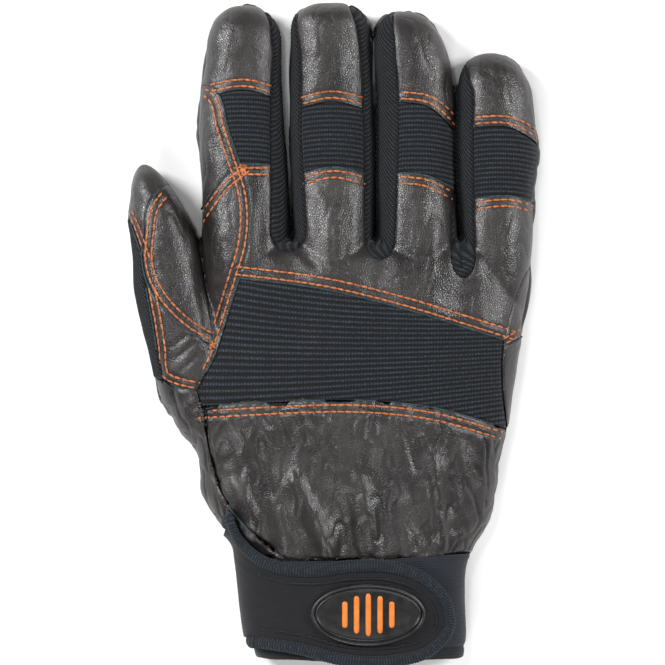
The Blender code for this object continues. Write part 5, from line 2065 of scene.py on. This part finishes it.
@dataclass
class ClosingStrap:
    """The strap wrapped over the cuff, with a rolled binding round its edge."""

    form: GloveForm
    wall: float = 0.0022
    gap: float = 0.0003
    foot: float = 0.0080
    heel: float = 0.012
    layer_start: float = 0.80
    past: float = 0.0060
    crease_inset: float = 0.0046
    ridge_start: float = -0.0265
    band: float = 0.0042
    face_low: float = 0.014
    fold_low: float = 0.012
    path_pitch: float = 0.00022
    rib_turns: float = 0.22 / 0.95

    @property
    def lift(self) -> float:
        """How far the strap's outer face stands off the cuff."""
        return self.gap + self.wall

    def outline(self, inset: float) -> list[Vector]:
        """The strap's edge in the plan, drawn in from the middle of its binding."""
        line = smooth_line([self.form.plan_point(stop) for stop in STRAP_EDGE], 8)
        return beside([Vector(point) for point in line], -inset)

    def layer(self, name: str, outline: Sequence[Plan]) -> bpy.types.Object:
        """A sheet that follows the cuff inside a plan outline.

        Args:
            name: the object's name.
            outline: its plan outline.

        Returns:
            The object.
        """
        sides, steps = 200, 90
        shells = []
        for part, lift, reach in (("sheet", self.lift, 0.0), ("core", self.gap, self.past)):
            top = self.form.knuckle_y - self.layer_start * self.form.palm_length + self.past + reach
            bottom = self.form.hem_y - self.past - reach
            rings = []
            for step in range(steps + 1):
                y = top + (bottom - top) * step / steps
                ring = self.form.ring(self.form.hand_section(y, lift), y, sides, self.form.wrist_round_top, 0.0)
                for point in ring:
                    point.z += float(self.form.fold_height(point.x, point.y)) * (point.z > self.fold_low)
                rings.append(ring)
            shells.append(new_object(f"{name}_{part}", loft(rings)))
        cut = prism(f"{name}_outline", outline, self.foot, ABOVE_ALL)
        combine(shells[0], [cut], "INTERSECT")
        combine(shells[0], [shells[1]], "DIFFERENCE")
        made = evaluated(shells[0], name)
        remove([cut, shells[1]])
        return made

    def build(self) -> None:
        """Makes the strap and its binding."""
        inset = self.form.binding_width / 2 - 0.3 * MM
        edge = self.outline(inset)
        left = self.form.hand_section(self.form.wrist_y)[0] - self.heel
        top = edge[0].y
        outline = [(left, top - 9 * MM), (edge[0].x - 2 * MM, top - 6 * MM), (edge[0].x, top)]
        outline += [(p.x, p.y) for p in edge if p.y < top]
        outline.append((left, edge[-1].y))
        strap = self.layer("strap_cloth", outline)
        points = mesh_points(strap.data)
        fine = even_line([(p.x, p.y) for p in self.outline(0.0)], 0.0005)
        tree = search_tree([(point.x, point.y, 0.0) for point in fine])
        away = nearest(tree, points * np.array([1.0, 1.0, 0.0]))
        groove, roll = bell(away - self.crease_inset, 0.55 * MM), bell(away, 2.6 * MM)
        soft = noise_at(points, 120.0, 5.0)
        points[:, 2] += (-0.38 * groove + 0.20 * soft * (1 - roll) - 0.35 * roll) * MM * (points[:, 2] > self.face_low)
        set_points(strap.data, points)
        strap.data.shade_smooth()
        strap.data.set_sharp_from_angle(angle=math.radians(45))
        dress(strap, "jersey", ["strap"])
        self.declare(outline)
        self.build_binding()

    def declare(self, outline: Sequence[Plan]) -> None:
        """Works out the length of a line over the strap across its middle; nothing uses the result.

        Args:
            outline: its plan outline.
        """
        levels = [y for _, y in outline]
        middle = (max(levels) + min(levels)) / 2
        left = self.form.hand_section(middle, self.lift)[0]
        right = max(x for x, _ in outline)
        steps = 80
        line = [
            self.form.cuff_point(left + (right - left) * step / steps, middle, self.lift)
            for step in range(steps + 1)
        ]
        length = sum((second - first).length for first, second in zip(line, line[1:]))
        length += max(line[0].z - self.foot, 0.0)

    def heel_line(self, end: Vector, lift: float) -> list[Vector]:
        """Points that carry the binding from its visible end down the glove's left side.

        Args:
            end: the binding's visible end.
            lift: how far the binding stands off the cuff.

        Returns:
            The points.
        """
        edge = self.form.hand_section(end.y)[0]
        points = [self.form.cuff_point(end.x + (edge - end.x) * step / 3, end.y, lift) for step in (1, 2)]
        shoulder = self.foot + (points[-1].z - self.foot) / 2
        points.append(Vector((edge - 0.3 * MM, end.y, shoulder)))
        points.append(Vector((edge - 0.5 * MM, end.y, self.foot)))
        return points

    def build_binding(self) -> None:
        """The rolled binding, ribbed across its width."""
        lift = 2 * self.gap + self.form.binding_width / 2
        line = [self.form.cuff_point(point.x, point.y, lift) for point in self.outline(0.0)]
        corner = [line[0] + Vector(step) * MM for step in ((-1.6, -1.0, -4.4), (-1.3, 0.9, -2.2), (-0.4, 1.5, -0.5))]
        rough = corner + line + self.heel_line(line[-1], lift)
        path = smooth_path(rough, self.path_pitch)
        ups, widths, heights = [], [], []
        for index, point in enumerate(path):
            side = (point.x - self.form.cuff_x) / (self.form.cuff_width / 2)
            ups.append(Vector((math.copysign(abs(side) ** 3, side) * 0.9, 0.0, 1.0)).normalized())
            rib = 1 + 0.045 * math.cos(2 * math.pi * index * self.rib_turns)
            widths.append(self.band / 2 * rib)
            heights.append(self.form.binding_width / 2 * 0.90 * rib)
        binding = new_object("strap_edge_binding", tube(path, ups, widths, heights, 14))
        points = mesh_points(binding.data)
        place = nearest(search_tree(path), points, 1)
        write_attributes(binding.data, along=place * self.rib_turns, across=points[:, 2] / (0.7 * MM))
        binding.data.shade_smooth()
        dress(binding, "binding", ["strap_binding"])
        self.build_ridge()

    def build_ridge(self) -> None:
        """The low ridge along the inner edge of the binding's tape."""
        inner = [point for point in self.outline(self.crease_inset) if point.x > self.ridge_start]
        path = smooth_path([self.form.cuff_point(point.x, point.y, self.lift) for point in inner], 0.0006)
        count = len(path)
        ups = [Vector((0.0, 0.0, 1.0))] * count
        ridge = new_object("strap_inner_ridge", tube(path, ups, [0.42 * MM] * count, [0.32 * MM] * count, 8))
        ridge.data.shade_smooth()
        dress(ridge, "jersey", [])


def smooth_path(points: Sequence[Vector], pitch: float) -> list[Vector]:
    """A smooth even path through points in space.

    Args:
        points: the points.
        pitch: the distance between two points of the path.

    Returns:
        The points of the path.
    """
    lengths = [0.0]
    for a, b in zip(points, points[1:]):
        lengths.append(lengths[-1] + (b - a).length)
    count = int(lengths[-1] / pitch)
    columns = [[point[axis] for point in points] for axis in range(3)]
    places = [lengths[-1] * step / count for step in range(count + 1)]
    return [Vector([smooth_value(lengths, column, place) for column in columns]) for place in places]


class RingRow(NamedTuple):
    """A ring of the badge: how far it lies inside the edge, its share of what is left, its height, in mm."""

    inset: float
    share: float
    height: float


@dataclass
class Badge:
    """The oval rubber badge: a double raised rim round a plain panel with upright ridges."""

    form: GloveForm
    strap: ClosingStrap
    length: float = 0.0394
    width: float = 0.0214
    across: float = 0.070
    along: float = 0.588
    sides: int = 120
    ridge_width: float = 0.0019
    ridge_pitch: float = 0.0040
    ridge_shares: tuple[float, ...] = (0.42, 0.60, 0.68, 0.60, 0.42)
    rows: tuple[RingRow, ...] = (
        RingRow(0.05, 1.0, 0.00), RingRow(0.00, 1.0, 0.40), RingRow(0.05, 1.0, 0.95), RingRow(0.22, 1.0, 1.30),
        RingRow(0.50, 1.0, 1.50), RingRow(0.85, 1.0, 1.55), RingRow(1.15, 1.0, 1.42), RingRow(1.32, 1.0, 1.10),
        RingRow(1.45, 1.0, 0.90), RingRow(1.60, 1.0, 0.90), RingRow(1.72, 1.0, 1.10), RingRow(1.90, 1.0, 1.32),
        RingRow(2.15, 1.0, 1.34), RingRow(2.32, 1.0, 1.15), RingRow(2.45, 1.0, 0.92), RingRow(2.60, 1.0, 0.88),
        RingRow(2.60, 0.8, 0.90), RingRow(2.60, 0.5, 0.92), RingRow(2.60, 0.2, 0.93), RingRow(2.60, 0.02, 0.93),
    )

    def place(self, x: float, y: float, height: float) -> Vector:
        """A point over the strap, by its plan place and its height."""
        return self.form.cuff_point(x, y, self.strap.lift + 0.0001 + height)

    def build(self) -> None:
        """Makes the badge and its ridges."""
        middle_x, middle_y = self.form.plan_point(Stop("cuff", self.across, self.along))
        rings = []
        for row in self.rows:
            ring = []
            for step in range(self.sides):
                angle = 2 * math.pi * step / self.sides
                half_x = (self.length / 2 - row.inset * MM) * row.share
                half_y = (self.width / 2 - row.inset * MM) * row.share
                x, y = middle_x + half_x * math.cos(angle), middle_y + half_y * math.sin(angle)
                ring.append(self.place(x, y, row.height * MM))
            rings.append(ring)
        badge = new_object("rubber_badge", loft(rings))
        badge.data.shade_smooth()
        badge.data.set_sharp_from_angle(angle=math.radians(60))
        dress(badge, "rubber", ["badge"])
        for number, share in enumerate(self.ridge_shares):
            x = middle_x + (number - (len(self.ridge_shares) - 1) / 2) * self.ridge_pitch
            self.build_ridge(number + 1, x, middle_y, share * self.width / 2)

    def build_ridge(self, number: int, x: float, middle_y: float, half: float) -> None:
        """One upright ridge with rounded ends.

        Args:
            number: its number, which names it.
            x: its place across.
            middle_y: its middle up the page.
            half: half its length.
        """
        path, ups, widths, heights = [], [], [], []
        for step in range(33):
            share = -math.cos(math.pi * step / 32)
            path.append(self.place(x, middle_y + half * share, 0.95 * MM))
            ups.append(Vector((0, 0, 1)))
            close = max(1 - abs(share) ** 14, 0.02) ** 0.5
            widths.append(self.ridge_width / 2 * close)
            heights.append(0.62 * MM * close)
        ridge = new_object(f"ridge_{number}", tube(path, ups, widths, heights, 16))
        ridge.data.shade_smooth()
        dress(ridge, "orange_rubber", [f"badge_ridge_{number}"])


class Lamp(NamedTuple):
    """A square soft light, with its side in metres and its power in watts."""

    name: str
    place: tuple[float, float, float]
    size: float
    power: float


LAMPS = (
    Lamp("key", (-0.95, 0.55, 0.72), 0.42, 20.0), Lamp("fill", (1.00, 0.35, 0.74), 0.45, 14.0),
    Lamp("low", (-0.15, -1.00, 0.80), 0.50, 9.0), Lamp("top", (-0.30, 0.42, 1.50), 0.16, 3.4),
)


@dataclass
class Studio:
    """Pale floor, soft lights and the camera straight above the glove."""

    photo_pixels: float = 665.0
    camera_height: float = 1.40
    middle_height: float = 0.012
    sensor: float = 36.0
    sky: float = 0.27

    def build(self) -> None:
        """Makes the floor, the lights, the world and the camera."""
        shape = bmesh.new()
        bmesh.ops.create_grid(shape, x_segments=1, y_segments=1, size=3.0)
        bmesh.ops.translate(shape, verts=shape.verts, vec=(0, 0, -0.0002))
        floor = new_object("floor", shape)
        floor.data.materials.append(self.floor_material())
        for lamp in LAMPS:
            self.light(lamp)
        world = bpy.data.worlds.new("studio")
        world.use_nodes = True
        background = world.node_tree.nodes["Background"]
        background.inputs["Color"].default_value = (1.0, 1.0, 1.0, 1.0)
        background.inputs["Strength"].default_value = self.sky
        bpy.context.scene.world = world
        bpy.context.scene.view_settings.view_transform = "Standard"
        self.build_camera()

    def floor_material(self) -> bpy.types.Material:
        """A plain matte white with the faintest unevenness.

        Returns:
            The material.
        """
        material, sketch, shader, place = new_material("floor_paper")
        patches = place_group(sketch, Group.MOTTLE, {"Vector": place, "Scale": 3.0}).outputs["Patches"]
        colour = sketch.mix(patches, (0.86, 0.86, 0.86, 1.0), (0.88, 0.88, 0.88, 1.0))
        sketch.feed(shader, {"Base Color": colour, "Roughness": 0.9, "Specular IOR Level": 0.1})
        return material

    def light(self, lamp: Lamp) -> None:
        """A soft light that faces the glove.

        Args:
            lamp: the light's row of the table.
        """
        data = bpy.data.lights.new(lamp.name, "AREA")
        data.size = lamp.size
        data.energy = lamp.power
        item = linked(lamp.name, data)
        item.location = lamp.place
        item.rotation_euler = (-Vector(lamp.place)).to_track_quat("-Z", "Y").to_euler()

    def build_camera(self) -> None:
        """The camera, so that the photograph's frame fits the plan."""
        camera = bpy.data.cameras.new("camera")
        camera.sensor_width = self.sensor
        width = self.photo_pixels / PHOTO_SCALE
        camera.lens = self.sensor * (self.camera_height - self.middle_height) / width
        camera.clip_end = 20.0
        item = linked("camera", camera)
        middle = photo_place(self.photo_pixels / 2, self.photo_pixels / 2)
        item.location = (middle[0], middle[1], self.camera_height)
        bpy.context.scene.camera = item


def main() -> None:
    """Builds the glove's looks and the studio."""
    logging.basicConfig(level=logging.INFO, format="%(relativeCreated)d %(message)s")
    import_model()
    seams = SeamLines(FORM)
    seams.draw()
    stitching = Stitching(seams)
    shell = SewnShell(FORM, seams, stitching.plan())
    shell.build()
    leather = [shell.pieces[seed.name] for seed in SEEDS if seed.cloth is Cloth.LEATHER and not seed.below]
    surface = Surface(leather)
    stitching.build(surface)
    RawEdges(seams).build(surface)
    strap = ClosingStrap(FORM)
    strap.build()
    Badge(FORM, strap).build()
    Studio().build()


if __name__ == "__main__":
    main()
